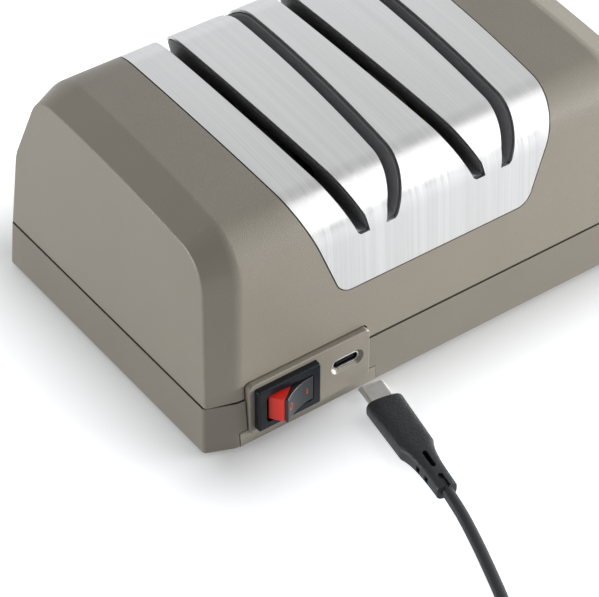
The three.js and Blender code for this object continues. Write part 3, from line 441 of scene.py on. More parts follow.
class Wire:
    """An output of a shader node that can be used in sums."""

    def __init__(self, shader: "Shader", socket: bpy.types.NodeSocket) -> None:
        """Wraps one socket of a shader's node tree."""
        self.shader = shader
        self.socket = socket

    def maths(self, operation: str, first: object, second: object) -> "Wire":
        """Adds a Math node for an operation on two values."""
        return self.shader.node("ShaderNodeMath", {"operation": operation}, {0: first, 1: second})

    def __add__(self, other: object) -> "Wire":
        """This value plus another."""
        return self.maths("ADD", self, other)

    __radd__ = __add__

    def __sub__(self, other: object) -> "Wire":
        """This value less another."""
        return self.maths("SUBTRACT", self, other)

    def __rsub__(self, other: object) -> "Wire":
        """Another value less this one."""
        return self.maths("SUBTRACT", other, self)

    def __mul__(self, other: object) -> "Wire":
        """This value times another."""
        return self.maths("MULTIPLY", self, other)

    __rmul__ = __mul__

    def power(self, exponent: float) -> "Wire":
        """This value raised to a power."""
        return self.maths("POWER", self, exponent)


class Shader:
    """The node tree of a material, or of the world, in the making."""

    def __init__(self, name: str, world: bool = False) -> None:
        """Starts a tree that has only an output."""
        self.holder = (bpy.data.worlds if world else bpy.data.materials).new(name)
        self.holder.use_nodes = True
        self.tree = self.holder.node_tree
        self.tree.nodes.clear()
        self.output = self.tree.nodes.new("ShaderNodeOutputWorld" if world else "ShaderNodeOutputMaterial")

    def node(
        self, kind: str, settings: dict[str, object], inputs: dict[object, object], out: object = 0
    ) -> Wire:
        """Adds a node.

        Args:
            kind: The node's type.
            settings: Its own settings. A ramp's stops are given as places and colours.
            inputs: Values or links for its sockets, by name or number.
            out: The output to hand back.

        Returns:
            The chosen output.
        """
        made = self.tree.nodes.new(kind)
        for key, value in settings.items():
            if key == "stops":
                self.stops(made.color_ramp, value)
            else:
                setattr(made, key, value)
        for key, value in inputs.items():
            if isinstance(value, Wire):
                self.tree.links.new(value.socket, made.inputs[key])
            else:
                made.inputs[key].default_value = value
        return Wire(self, made.outputs[out])

    @staticmethod
    def stops(ramp: bpy.types.ColorRamp, stops: Sequence[tuple[float, tuple]]) -> None:
        """Gives a colour ramp its two stops."""
        for element, (place, colour) in zip(ramp.elements, stops):
            element.position = place
            element.color = colour

    def ray(self, kind: str) -> Wire:
        """One for one kind of ray, and zero for all others."""
        return self.node("ShaderNodeLightPath", {}, {}, f"Is {kind} Ray")

    def place(self, scale: Point = (1, 1, 1)) -> Wire:
        """The point on the piece, in metres, stretched by a scale."""
        spot = self.node("ShaderNodeTexCoord", {}, {}, "Object")
        return self.node("ShaderNodeMapping", {}, {"Vector": spot, "Scale": scale})

    def noise(self, place: Wire, scale: float, detail: float = EVEN, roughness: float = 0.5) -> Wire:
        """Soft noise from 0 to 1."""
        values = {"Vector": place, "Scale": scale, "Detail": detail, "Roughness": roughness}
        return self.node("ShaderNodeTexNoise", {}, values, "Fac")

    def cells(self, scale: float) -> Wire:
        """The distance to the nearest of many scattered points."""
        values = {"Vector": self.place(), "Scale": scale}
        return self.node("ShaderNodeTexVoronoi", {}, values, "Distance")

    def blend(self, share: object, first: object, second: object) -> Wire:
        """Mixes two colours by a share."""
        settings = {"data_type": "RGBA"}
        return self.node("ShaderNodeMix", settings, {0: share, 6: first, 7: second}, 2)

    def spread(self, value: Wire, low: float, high: float, to_low: float, to_high: float) -> Wire:
        """Maps a range of values onto another."""
        inputs = {0: value, 1: low, 2: high, 3: to_low, 4: to_high}
        return self.node("ShaderNodeMapRange", {"clamp": True}, inputs)

    def bump(self, height: Wire, depth: float) -> Wire:
        """A normal from a height, of a depth in metres."""
        return self.node("ShaderNodeBump", {}, {"Height": height, "Distance": depth})

    def surface(self, **inputs: object) -> bpy.types.Material:
        """Ends the material in a Principled shader.

        Args:
            inputs: Its sockets' values or links, by name with underscores for spaces.

        Returns:
            The material.
        """
        named = {key.replace("_", " "): value for key, value in inputs.items()}
        return self.end(self.node("ShaderNodeBsdfPrincipled", {}, named))

    def end(self, shader: Wire) -> bpy.types.Material | bpy.types.World:
        """Links a shader to the output and hands back the material or the world."""
        self.tree.links.new(shader.socket, self.output.inputs["Surface"])
        return self.holder


@dataclass(frozen=True)
class Plastic:
    """Moulded plastic with a fine spark-eroded grain."""

    name: str
    colour: tuple
    roughness: float
    grain: float
    depth: float
    mottle: float
    specular: float = 0.5
    cloud: float = 60.0
    fine_share: float = 0.6
    span: Point = (0.3, 0.7)
    swing: float = 0.06

    def dress(self) -> bpy.types.Material:
        """Builds the material."""
        shader = Shader(self.name)
        spot = shader.place()
        fine = shader.noise(spot, self.grain)
        broad = shader.noise(spot, self.cloud, RICH)
        dark = toned(self.colour, 1 - self.mottle)
        light = toned(self.colour, 1 + self.mottle)
        both = fine * self.fine_share + broad * (1 - self.fine_share)
        share = shader.spread(both, *self.span, 0.0, 1.0)
        rough = shader.spread(fine, *self.span, self.roughness - self.swing, self.roughness + self.swing)
        return shader.surface(
            Base_Color=shader.blend(share, dark, light),
            Roughness=rough,
            Specular_IOR_Level=self.specular,
            Normal=shader.bump(fine, self.depth),
        )


@dataclass(frozen=True)
class BrushedSteel:
    """Stainless sheet with fine straight brush lines from front to rear."""

    name: str
    colour: tuple
    roughness: float
    lines: float = 2300.0
    run: float = 9.0
    coarse_lines: float = 460.0
    coarse_run: float = 4.5
    crispness: float = 0.6
    fine_share: float = 0.65
    dark_share: float = 0.88
    span: Point = (0.35, 0.65)
    swing: float = 0.06
    depth: float = 0.000007

    def dress(self) -> bpy.types.Material:
        """Builds the material."""
        shader = Shader(self.name)
        spot = shader.place((self.lines, self.run, self.run))
        wide = shader.place((self.coarse_lines, self.coarse_run, self.coarse_run))
        fine = shader.noise(spot, 1.0, RICH, self.crispness)
        coarse = shader.noise(wide, 1.0)
        line = fine * self.fine_share + coarse * (1 - self.fine_share)
        share = shader.spread(line, *self.span, 0.0, 1.0)
        rough = shader.spread(line, *self.span, self.roughness - self.swing, self.roughness + self.swing)
        return shader.surface(
            Base_Color=shader.blend(share, toned(self.colour, self.dark_share), self.colour),
            Metallic=1.0,
            Roughness=rough,
            Normal=shader.bump(line, self.depth),
        )


@dataclass(frozen=True)
class Metal:
    """Plated or turned metal with a slight unevenness."""

    name: str
    colour: tuple
    roughness: float
    grain: float = 2600.0
    depth: float = 0.000004
    stains: float = 240.0
    fine_share: float = 0.5
    dark_share: float = 0.86
    colour_span: Point = (0.35, 0.65)
    rough_span: Point = (0.3, 0.7)
    smoother: float = 0.05
    rougher: float = 0.08

    def dress(self) -> bpy.types.Material:
        """Builds the material."""
        shader = Shader(self.name)
        spot = shader.place()
        fine = shader.noise(spot, self.grain, RICH)
        stain = shader.noise(spot, self.stains, RICH)
        both = fine * self.fine_share + stain * (1 - self.fine_share)
        share = shader.spread(both, *self.colour_span, 0.0, 1.0)
        low, high = self.roughness - self.smoother, self.roughness + self.rougher
        rough = shader.spread(stain, *self.rough_span, low, high)
        return shader.surface(
            Base_Color=shader.blend(share, toned(self.colour, self.dark_share), self.colour),
            Metallic=1.0,
            Roughness=rough,
            Normal=shader.bump(fine, self.depth),
        )


@dataclass(frozen=True)
class Grit:
    """Bonded grains on a disc: coarse and sparkling, or fine and even."""

    name: str
    colour: tuple
    grain_colour: tuple
    grains: float
    metallic: float = 0.0
    span: Point = (0.1, 0.5)
    roughness: Point = (0.75, 0.4)
    depth: float = 0.00004

    def dress(self) -> bpy.types.Material:
        """Builds the material."""
        shader = Shader(self.name)
        peaks = shader.spread(shader.cells(self.grains), *self.span, 1.0, 0.0)
        return shader.surface(
            Base_Color=shader.blend(peaks, self.colour, self.grain_colour),
            Metallic=self.metallic,
            Roughness=shader.spread(peaks, 0.0, 1.0, *self.roughness),
            Normal=shader.bump(peaks, self.depth),
        )


@dataclass(frozen=True)
class BoardCoat:
    """Green coat of a circuit board, with lighter tracks and bright pads."""

    name: str
    colour: tuple
    track: tuple
    pad: tuple
    tracks: float = 160.0
    track_width: float = 0.06
    pads: float = 260.0
    span: Point = (0.1, 0.14)
    roughness: Point = (0.4, 0.25)
    depth: float = 0.00003

    def dress(self) -> bpy.types.Material:
        """Builds the material."""
        shader = Shader(self.name)
        values = {"Vector": shader.place(), "Scale": self.tracks, "Mortar Size": self.track_width}
        values |= {"Color1": self.colour, "Color2": self.colour, "Mortar": self.track}
        coat = shader.node("ShaderNodeTexBrick", {}, values, "Color")
        pads = shader.spread(shader.cells(self.pads), *self.span, 1.0, 0.0)
        return shader.surface(
            Base_Color=shader.blend(pads, coat, self.pad),
            Metallic=pads,
            Roughness=shader.spread(pads, 0.0, 1.0, *self.roughness),
            Normal=shader.bump(pads, self.depth),
        )


class Finish(Enum):
    """Every finish on the sharpener."""

    HOUSING = Plastic("taupe_plastic", linear(145, 138, 125), 0.34, 3300.0, 0.00006, 0.06, 0.75)
    # The base is a darker copy of the housing's taupe plastic: the darker tone is painted shade for the
    # lower part of the case, near the floor
    TRAY = Plastic("taupe_base_plastic_painted_shade", linear(133, 127, 115), 0.42, 3300.0, 0.00006, 0.06, 0.65)
    STEEL = BrushedSteel("brushed_steel", (0.84, 0.84, 0.84, 1.0), 0.34)
    # The slot liners are black plastic; their mid grey colour is painted sheen, standing in for the light
    # seen on the slot walls
    LINER = Plastic("liner_plastic_painted_sheen", linear(132, 132, 134), 0.42, 2600.0, 0.00001, 0.1)
    BLACK = Plastic("socket_black_plastic", linear(12, 12, 13), 0.6, 2600.0, 0.00001, 0.1, 0.2)
    BEZEL = Plastic("bezel_plastic", linear(17, 23, 29), 0.32, 2600.0, 0.00006, 0.2, 0.28)
    CAP = Plastic("rocker_cap_plastic", linear(34, 39, 42), 0.4, 2600.0, 0.00008, 0.25, 0.5)
    RED = Plastic("rocker_red_plastic", linear(255, 54, 40), 0.35, 3000.0, 0.000004, 0.04, 0.5)
    MARK = Plastic("orange_mark_paint", linear(214, 76, 34), 0.4, 3000.0, 0.000004, 0.03)
    JACKET = Plastic("cord_jacket", linear(46, 49, 53), 0.42, 3600.0, 0.00001, 0.1)
    OVERMOULD = Plastic("overmould_grain", linear(46, 50, 55), 0.46, 1500.0, 0.00016, 0.4)
    RUBBER = Plastic("foot_rubber", linear(30, 30, 31), 0.8, 2200.0, 0.00003, 0.1, 0.3)
    CELL = Plastic("cell_wrap", linear(52, 110, 160), 0.3, 3000.0, 0.000004, 0.05)
    FRAME = Plastic("inner_frame_plastic", linear(38, 39, 41), 0.5, 2400.0, 0.00002, 0.08)
    PLUG_METAL = Metal("plug_plating", (0.93, 0.95, 1.0, 1.0), 0.34, 1900.0, 0.00004)
    PORT_METAL = Metal("port_plating", (0.92, 0.92, 0.92, 1.0), 0.35)
    ZINC = Metal("turned_steel", (0.62, 0.63, 0.65, 1.0), 0.32)
    CAN = Metal("motor_can_plating", (0.52, 0.54, 0.56, 1.0), 0.38)
    ABRASIVE = Grit("diamond_grit", linear(84, 81, 76), linear(150, 147, 140), 3600.0, 0.3)
    HONING = Grit("ceramic_grit", linear(205, 198, 182), linear(232, 228, 216), 7000.0)
    BOARD = BoardCoat("board_coat", linear(26, 84, 50), linear(60, 122, 78), linear(214, 196, 140))


class Workshop:
    """Places finished forms in the part's frame and keeps one material for each finish."""

    def __init__(self, frame: dict) -> None:
        """Takes the loaded frame."""
        self.frame = frame
        low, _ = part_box("base_shell")
        self.floor = Matrix.Scale(MM, 4)
        self.case = Matrix.Translation((0, low.y, low.z)) @ self.floor
        self.made: dict[Finish, bpy.types.Material] = {}

    def material(self, finish: Finish) -> bpy.types.Material:
        """The material of a finish, built the first time it is asked for."""
        if finish not in self.made:
            self.made[finish] = finish.value.dress()
        return self.made[finish]

    def piece(
        self,
        form: Form,
        name: str,
        finish: Finish,
        body: str,
        stands_for: Sequence[str] = (),
        smooth: float = SMOOTH,
        on_floor: bool = False,
    ) -> bpy.types.Object:
        """Makes a piece of a finished form.

        Args:
            form: The form, in millimetres.
            name: The piece's name.
            finish: Its finish.
            body: The moving body that it rides on.
            stands_for: The solids that it replaces.
            smooth: Faces that meet at less than this many degrees are shaded as one surface.
            on_floor: Whether the form is in the part's frame already, and not in the case's.

        Returns:
            The piece.
        """
        form.transform(self.floor if on_floor else self.case)
        made = form.as_object(name)
        form.mesh.free()
        made.data.materials.append(self.material(finish))
        for polygon in made.data.polygons:
            polygon.use_smooth = True
        made.data.set_sharp_from_angle(angle=math.radians(smooth))
        weighted = made.modifiers.new("even_shading", "WEIGHTED_NORMAL")
        weighted.keep_sharp = True
        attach(made, body)
        if stands_for:
            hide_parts(*stands_for)
        LOG.info("%s: %d faces on %s", name, len(made.data.polygons), body)
        return made

    def lead_piece(
        self,
        form: Form,
        name: str,
        finish: Finish,
        solids: Sequence[str] = (),
        smooth: float = SMOOTH,
    ) -> bpy.types.Object:
        """Makes a piece of the lead, whose form is in the part's frame already.

        Args:
            form: The form, in millimetres.
            name: The piece's name.
            finish: Its finish.
            solids: The solids that it replaces.
            smooth: Faces that meet at less than this many degrees are shaded as one surface.

        Returns:
            The piece.
        """
        return self.piece(form, name, finish, "casing", solids, smooth, True)

    def dress_solid(self, node: str, finish: Finish) -> None:
        """Gives a solid of the frame its finish."""
        solid = self.frame["nodes"][node]
        solid.data.materials.clear()
        solid.data.materials.append(self.material(finish))
        LOG.info("%s: kept, with %s", node, finish.name.lower())


@dataclass(frozen=True)
class Section:
    """The case's section: drafted front wall, crowned top that falls forward, slanted upper rear wall."""

    length: float = 161.9
    depth: float = 110.8
    seam_height: float = 15.9
    seam_step: float = 0.33
    crown_height: float = 73.2
    crown_place: float = 89.2
    crown_radius: float = 559.0
    front_radius: float = 16.0
    rear_radius: float = 15.7
    break_radius: float = 20.5
    break_height: float = 42.7
    base_front_lean: float = 0.063
    base_end_lean: float = 0.062
    front_lean: float = 0.059
    rear_lean: float = 0.068
    end_lean: float = 0.065
    rear_slant: float = math.radians(24.3)
    shoulder_steps: int = 36
    crown_steps: int = 10
    break_steps: int = 12

    @property
    def foot(self) -> float:
        """How far the walls stand in from the base's own foot at the seam."""
        return self.seam_step + self.base_front_lean * self.seam_height

    @property
    def crown(self) -> Vector:
        """The centre of the crown's arc."""
        return Vector((self.crown_place, self.crown_height - self.crown_radius))

    def end_face(self, height: float) -> float:
        """How far from the middle the end walls stand at a height."""
        at_seam = self.length / 2 - self.base_end_lean * self.seam_height - self.seam_step
        return at_seam - self.end_lean * (height - self.seam_height)

    @staticmethod
    def inwards(up: Vector, turn: float) -> Vector:
        """The unit vector square to a wall's rise, to its right for a turn of -1 and its left for 1."""
        return Vector((-turn * up.y, turn * up.x))

    def meet(self, point: Vector, direction: Vector, distance: float) -> Vector:
        """Where a point that moves along a line comes to a distance from the crown's centre."""
        offset = point - self.crown
        along = offset.dot(direction)
        travel = -along + math.sqrt(along * along - offset.length_squared + distance * distance)
        return point + direction * travel

    def trace(self, inset: float, foot_height: float) -> Pen:
        """Draws the section, drawn in by an inset, from the front foot over the top to the rear foot.

        Args:
            inset: How far inside the case's skin the outline runs.
            foot_height: The height of both feet.

        Returns:
            The pen, at the rear foot.
        """
        front_up = Vector((self.front_lean, 1)).normalized()
        front_in = self.inwards(front_up, -1)
        front_foot = Vector((self.foot, self.seam_height))
        start = front_foot + front_in * self.front_radius
        front = self.meet(start, front_up, self.crown_radius - self.front_radius)
        rear_up = Vector((-self.rear_lean, 1)).normalized()
        rear_in = self.inwards(rear_up, 1)
        rear_foot = Vector((self.depth - self.foot, self.seam_height))
        slant_up = Vector((-math.sin(self.rear_slant), math.cos(self.rear_slant)))
        slant_in = self.inwards(slant_up, 1)
        break_point = rear_foot + rear_up * ((self.break_height - self.seam_height) / rear_up.y)
        start = break_point + slant_in * self.rear_radius
        rear = self.meet(start, slant_up, self.crown_radius - self.rear_radius)
        middle = (rear_in + slant_in).normalized()
        bend = break_point + middle * (self.break_radius / middle.dot(rear_in))
        front_angle = math.atan2(-front_in.y, -front_in.x) % math.tau
        front_top = math.atan2(front.y - self.crown.y, front.x - self.crown.x)
        rear_top = math.atan2(rear.y - self.crown.y, rear.x - self.crown.x)
        rear_angle = math.atan2(-rear_in.y, -rear_in.x)
        drop = (foot_height - self.seam_height) / front_up.y
        pen = Pen(in_yz, front_foot + front_in * inset + front_up * drop)
        turn = front_top - front_angle
        pen.corner(front, self.front_radius - inset, front_angle, turn, self.shoulder_steps)
        pen.arc(self.crown, rear_top - front_top, self.crown_steps)
        pen.arc(rear, self.rear_slant - rear_top, self.shoulder_steps)
        turn = rear_angle - self.rear_slant
        pen.corner(bend, self.break_radius - inset, self.rear_slant, turn, self.break_steps)
        drop = (foot_height - self.seam_height) / rear_up.y
        return pen.line(rear_foot + rear_in * inset + rear_up * drop)

    def bar(self, inset: float, foot_height: float, left: float, right: float) -> Form:
        """A straight bar of the section between two places along X."""
        return prism(self.trace(inset, foot_height), left, right)


@dataclass(frozen=True)
class Case:
    """Upper housing and base: a drafted shell with chamfered ends over a tray."""

    section: Section
    wall: float = 2.6
    floor: float = 2.4
    chamfer_along: float = 9.1
    chamfer_across: float = 3.8
    chamfer_down: float = 3.1
    end_crease: float = 0.9
    side_crease: float = 1.5
    seam_gap: float = 0.4
    seam_edge: float = 0.1
    groove_from: float = 0.3
    groove_to: float = 1.5
    groove_depth: float = 1.2
    base_edge: float = 0.8
    end_steps: int = 4
    side_steps: int = 5
    base_steps: int = 4

    def end(self, form: Form, side: int, reach: float) -> None:
        """Shapes one end of a bar of the section: drafted, chamfered and with soft creases.

        Args:
            form: The bar.
            side: -1 for the left end and 1 for the right one.
            reach: How far from the middle the bar ends.
        """
        section = self.section
        mesh = form.mesh
        mesh.normal_update()
        cap = [f for f in mesh.faces if f.calc_center_median().x * side > reach - WELD][0]
        broad = list(cap.verts)
        facing = {self.key(v): Vector((v.normal.y, v.normal.z)).normalized() for v in broad}
        _, narrow = drawn_out(form, cap, (side * self.chamfer_along, 0, 0))
        for vert in narrow:
            out = facing[self.key(vert)]
            vert.co.y -= self.chamfer_across * out.x
            vert.co.z -= self.chamfer_down * out.y
        for vert in [*broad, *narrow]:
            vert.co.x -= side * section.end_lean * (vert.co.z - section.seam_height)
        end_edges = [e for e in mesh.edges if set(e.verts) <= set(narrow)]
        side_edges = [e for e in mesh.edges if set(e.verts) <= set(broad)]
        form.bevel(end_edges, self.end_crease, self.end_steps)
        form.bevel([e for e in side_edges if e.is_valid], self.side_crease, self.side_steps)

    @staticmethod
    def key(vert: bmesh.types.BMVert) -> tuple[float, float]:
        """A point's place in the section, rounded so that it can be looked up."""
        return round(vert.co.y, 3), round(vert.co.z, 3)

    def upper(self, inset: float, foot_height: float) -> Form:
        """The upper case as a closed form, drawn in by an inset and open to no side.

        Args:
            inset: How far inside the skin the form runs.
            foot_height: The height of its flat underside.

        Returns:
            The closed form.
        """
        section = self.section
        reach = section.end_face(section.seam_height) - inset - self.chamfer_along
        form = section.bar(inset, foot_height - 2 * OVERRUN, -reach, reach)
        for side in (-1, 1):
            self.end(form, side, reach)
        form.slice((0, 0, foot_height), (0, 0, -1))
        return form.tidy()

    def base(self, inset: float, bottom: float, top: float) -> Form:
        """The base as a closed form: a rectangle with cut corners, drafted inwards with its height.

        Args:
            inset: How far inside the skin the form runs.
            bottom: The height of its underside.
            top: The height of its top.

        Returns:
            The closed form.
        """
        section = self.section
        x = section.length / 2 - inset
        along = self.chamfer_along
        across = self.chamfer_across
        low, high = inset, section.depth - inset
        pen = Pen(in_xy, (-x, low + across))
        pen.line((-x + along, low), (x - along, low), (x, low + across), (x, high - across))
        pen.line((x - along, high), (-x + along, high), (-x, high - across))
        form = prism(pen, bottom, top)
        middle = section.depth / 2
        for vert in form.mesh.verts:
            vert.co.x -= math.copysign(section.base_end_lean * vert.co.z, vert.co.x)
            vert.co.y -= math.copysign(section.base_front_lean * vert.co.z, vert.co.y - middle)
        return form

    def groove(self) -> Form:
        """A cutter of the groove in the base's brim, which keeps the seam dark."""
        height = self.section.seam_height - self.groove_depth
        ring = self.base(self.groove_from, height, height + OVERRUN)
        core = self.base(self.groove_to, height - OVERRUN, height + 2 * OVERRUN)
        return ring.with_cuts([core], Cut.AWAY)

    def soft_base(self) -> Form:
        """The base's outer form with its corners and its lower rim rounded."""
        section = self.section
        form = self.base(0, 0, section.seam_height)
        top = section.seam_height - WELD
        upright = form.running(2)
        ends = [e for e in upright if abs(e.verts[0].co.x) > section.length / 2 - self.chamfer_along / 2]
        sides = [e for e in upright if e not in ends]
        form.bevel(ends, self.end_crease, self.end_steps)
        form.bevel([e for e in sides if e.is_valid], self.side_crease, self.side_steps)
        form.mesh.normal_update()
        rim = [e for e in form.mesh.edges if all(v.co.z < WELD for v in e.verts)]
        form.bevel(rim, self.base_edge, self.base_steps)
        brim = [e for e in form.mesh.edges if all(v.co.z > top for v in e.verts)]
        return form.bevel(brim, self.seam_edge).tidy()


@dataclass(frozen=True)
class Stages:
    """The two sharpening stages and their slanted slots."""

    centres: tuple[float, float] = (-20.95, 20.05)
    inner_at_crown: tuple[tuple[float, float], ...] = ((9.95, 9.95), (10.75, 8.8))
    slants: tuple[tuple[float, float], ...] = ((23.3, 23.3), (25.0, 20.3))
    slot_width: float = 5.0
    slot_depth: float = 19.5
    bottom_inner: float = 2.85
    bottom_outer: float = 6.0
    bottom_chamfer: float = 0.9
    least_steep: float = 0.2
    insert_half_width: float = 16.0
    insert_floor: float = 7.7
    pocket_half_width: float = 10.4
    pocket_clear: float = 2.0
    lip: float = 0.7
    narrower: float = 0.45

    def at_rim(self, edge: bmesh.types.BMEdge, drive: "Drive") -> bool:
        """Whether an edge of a liner runs where a slot comes out of the liner's skin."""
        flat, steep = sorted(abs(face.normal.x) for face in edge.link_faces)
        reach = drive.radius + 2 * self.pocket_clear
        inside = any(abs(v.co.y - drive.y) < reach and v.co.z < drive.z + reach for v in edge.verts)
        return flat < WELD and steep > self.least_steep and edge.is_convex and not inside

    def slot(self, section: Section, number: int, side: int, grow: float = 0.0) -> Form:
        """A cutter through the whole case along one slot.

        Args:
            section: The case's section.
            number: The stage, counted from 0.
            side: -1 for the stage's left slot and 1 for its right one.
            grow: How much wider than the slot the cutter is, on each side.

        Returns:
            The closed cutter.
        """
        hand = (side + 1) // 2
        slope = math.tan(math.radians(self.slants[number][hand]))
        crown = section.crown_height

        def inner(z: float) -> float:
            """The slot's inner wall at a height."""
            return self.inner_at_crown[number][hand] - grow - slope * (crown - z)

        def outer(z: float) -> float:
            """The slot's outer wall at a height."""
            return inner(z) + self.slot_width + 2 * grow

        top = crown + OVERRUN
        bottom = crown - self.slot_depth - grow
        foot = self.bottom_inner - grow
        knee = bottom + (foot + self.bottom_chamfer - inner(bottom)) / slope
        rise = bottom + self.bottom_chamfer
        pen = Pen(in_xz, (outer(top), top))
        pen.line((inner(top), top), (foot + self.bottom_chamfer, knee), (foot, bottom))
        pen.line((self.bottom_outer + grow, bottom), (outer(rise), rise))
        form = prism(pen, -section.depth - OVERRUN, OVERRUN)
        form.transform(Matrix.Translation((self.centres[number], 0, 0)) @ Matrix.Diagonal((side, 1, 1, 1)))
        return form.tidy()

    def slots(self, section: Section) -> list[Form]:
        """The cutters of all four slots."""
        return [self.slot(section, number, side) for number in (0, 1) for side in (-1, 1)]


def housing(case: Case, stages: Stages, plate: "GuidePlate", panel: "Panel", screws: "Screws") -> Form:
    """The upper housing: a shell with screw columns, the plate's recess and openings for liners and panel.

    Args:
        case: The case that it belongs to.
        stages: The two stages whose liners pass through it.
        plate: The steel plate that lies in its recess.
        panel: The front panel that it makes room for.
        screws: The screws that hold the base.

    Returns:
        The closed shell.
    """
    section = case.section
    foot = section.seam_height + case.seam_gap
    skin = case.upper(0, foot)
    rim = [e for e in skin.sharp() if all(v.co.z < foot + WELD for v in e.verts)]
    skin.bevel(rim, case.seam_edge)
    skin.with_cuts([case.upper(case.wall, foot - OVERRUN)], Cut.AWAY)
    columns = screws.columns(section, foot, section.crown_height)
    limit = case.upper(case.wall / 2, foot)
    posts = [column.with_cuts([limit.copy()], Cut.WITHIN) for column in columns]
    limit.mesh.free()
    skin.with_cuts(posts, Cut.JOIN)
    bores = screws.bores(section, foot - OVERRUN)
    recess = plate.layer(section, -OVERRUN / 2, plate.thickness + GAP, plate.gap)
    openings = [liner_block(section, stages, centre, GAP, -OVERRUN / 2) for centre in stages.centres]
    return skin.with_cuts([*bores, recess, *openings, panel.opening()], Cut.AWAY)


def liner_block(section: Section, stages: Stages, centre: float, grow: float, inset: float) -> Form:
    """The block that a stage's liner is cut from, or the opening that it sits in.

    Args:
        section: The case's section.
        stages: The stages.
        centre: The middle of the stage.
        grow: How much larger the block is on each side.
        inset: How far its top lies under the case's skin.

    Returns:
        The closed block.
    """
    half = stages.insert_half_width + grow
    form = section.bar(inset, section.seam_height, centre - half, centre + half)
    floor = section.crown_height - stages.slot_depth - stages.insert_floor - grow
    return form.slice((0, 0, floor), (0, 0, -1)).tidy()


@dataclass(frozen=True)
class GuidePlate:
    """The brushed steel plate that folds over the top and is slotted for the blades."""

    thickness: float = 0.8
    gap: float = 0.42
    drop: float = 36.5
    left_at_crown: float = 47.9
    right_at_crown: float = 46.7
    corner_radius: float = 5.5
    corner_steps: int = 12
    side_lean: float = math.radians(20.7)
    level: float = math.radians(1)

    def outline(self, section: Section, grow: float) -> Form:
        """A cutter of the plate's outline, through the whole case from front to rear.

        Args:
            section: The case's section.
            grow: How much larger than the plate the outline is.

        Returns:
            The closed cutter.
        """
        slope = math.tan(self.side_lean)
        crown = section.crown_height
        top = crown + OVERRUN
        bottom = crown - self.drop - grow
        radius = self.corner_radius + grow
        height = bottom + radius

        def half(at_crown: float, z: float) -> float:
            """The outline's reach to one side at a height."""
            return at_crown + grow / math.cos(self.side_lean) - slope * (crown - z)

        away = radius / math.cos(self.side_lean)
        right = half(self.right_at_crown, height) - away
        left = half(self.left_at_crown, height) - away
        turn = QUARTER - self.side_lean
        pen = Pen(in_xz, (0, bottom))
        pen.corner((right, height), radius, -QUARTER, turn, self.corner_steps)
        pen.line((half(self.right_at_crown, top), top), (-half(self.left_at_crown, top), top))
        pen.corner((-left, height), radius, math.pi + self.side_lean, turn, self.corner_steps)
        return prism(pen, -section.depth - OVERRUN, OVERRUN)

    def layer(self, section: Section, outer: float, inner: float, grow: float) -> Form:
        """The layer of the case between two insets, inside the plate's outline.

        Args:
            section: The case's section.
            outer: The inset of its outer face.
            inner: The inset of its inner face.
            grow: How much larger than the plate the layer is.

        Returns:
            The closed layer.
        """
        reach = section.length / 2
        form = section.bar(outer, section.seam_height, -reach, reach)
        core = section.bar(inner, section.seam_height - OVERRUN, -reach - OVERRUN, reach + OVERRUN)
        form.with_cuts([core], Cut.AWAY)
        return form.with_cuts([self.outline(section, grow)], Cut.WITHIN)

    def build(self, shop: Workshop, section: Section, stages: Stages) -> None:
        """Makes the plate: its outer skin, given a thickness square to itself, as punched sheet has."""
        form = self.layer(section, 0, self.thickness, 0)
        form.with_cuts(stages.slots(section), Cut.AWAY)
        form.mesh.normal_update()
        middle = Vector((0, section.depth / 2, section.crown_height - self.drop - OVERRUN))
        level = math.sin(self.level)
        hidden = [
            f
            for f in form.mesh.faces
            if abs(f.normal.x) > level or f.normal.dot(f.calc_center_median() - middle) < 0
        ]
        bmesh.ops.delete(form.mesh, geom=hidden, context="FACES")
        bmesh.ops.solidify(form.mesh, geom=form.mesh.faces[:], thickness=self.thickness)
        form.tidy()
        shop.piece(form, "steel_plate", Finish.STEEL, "casing", ["guide_plate"])


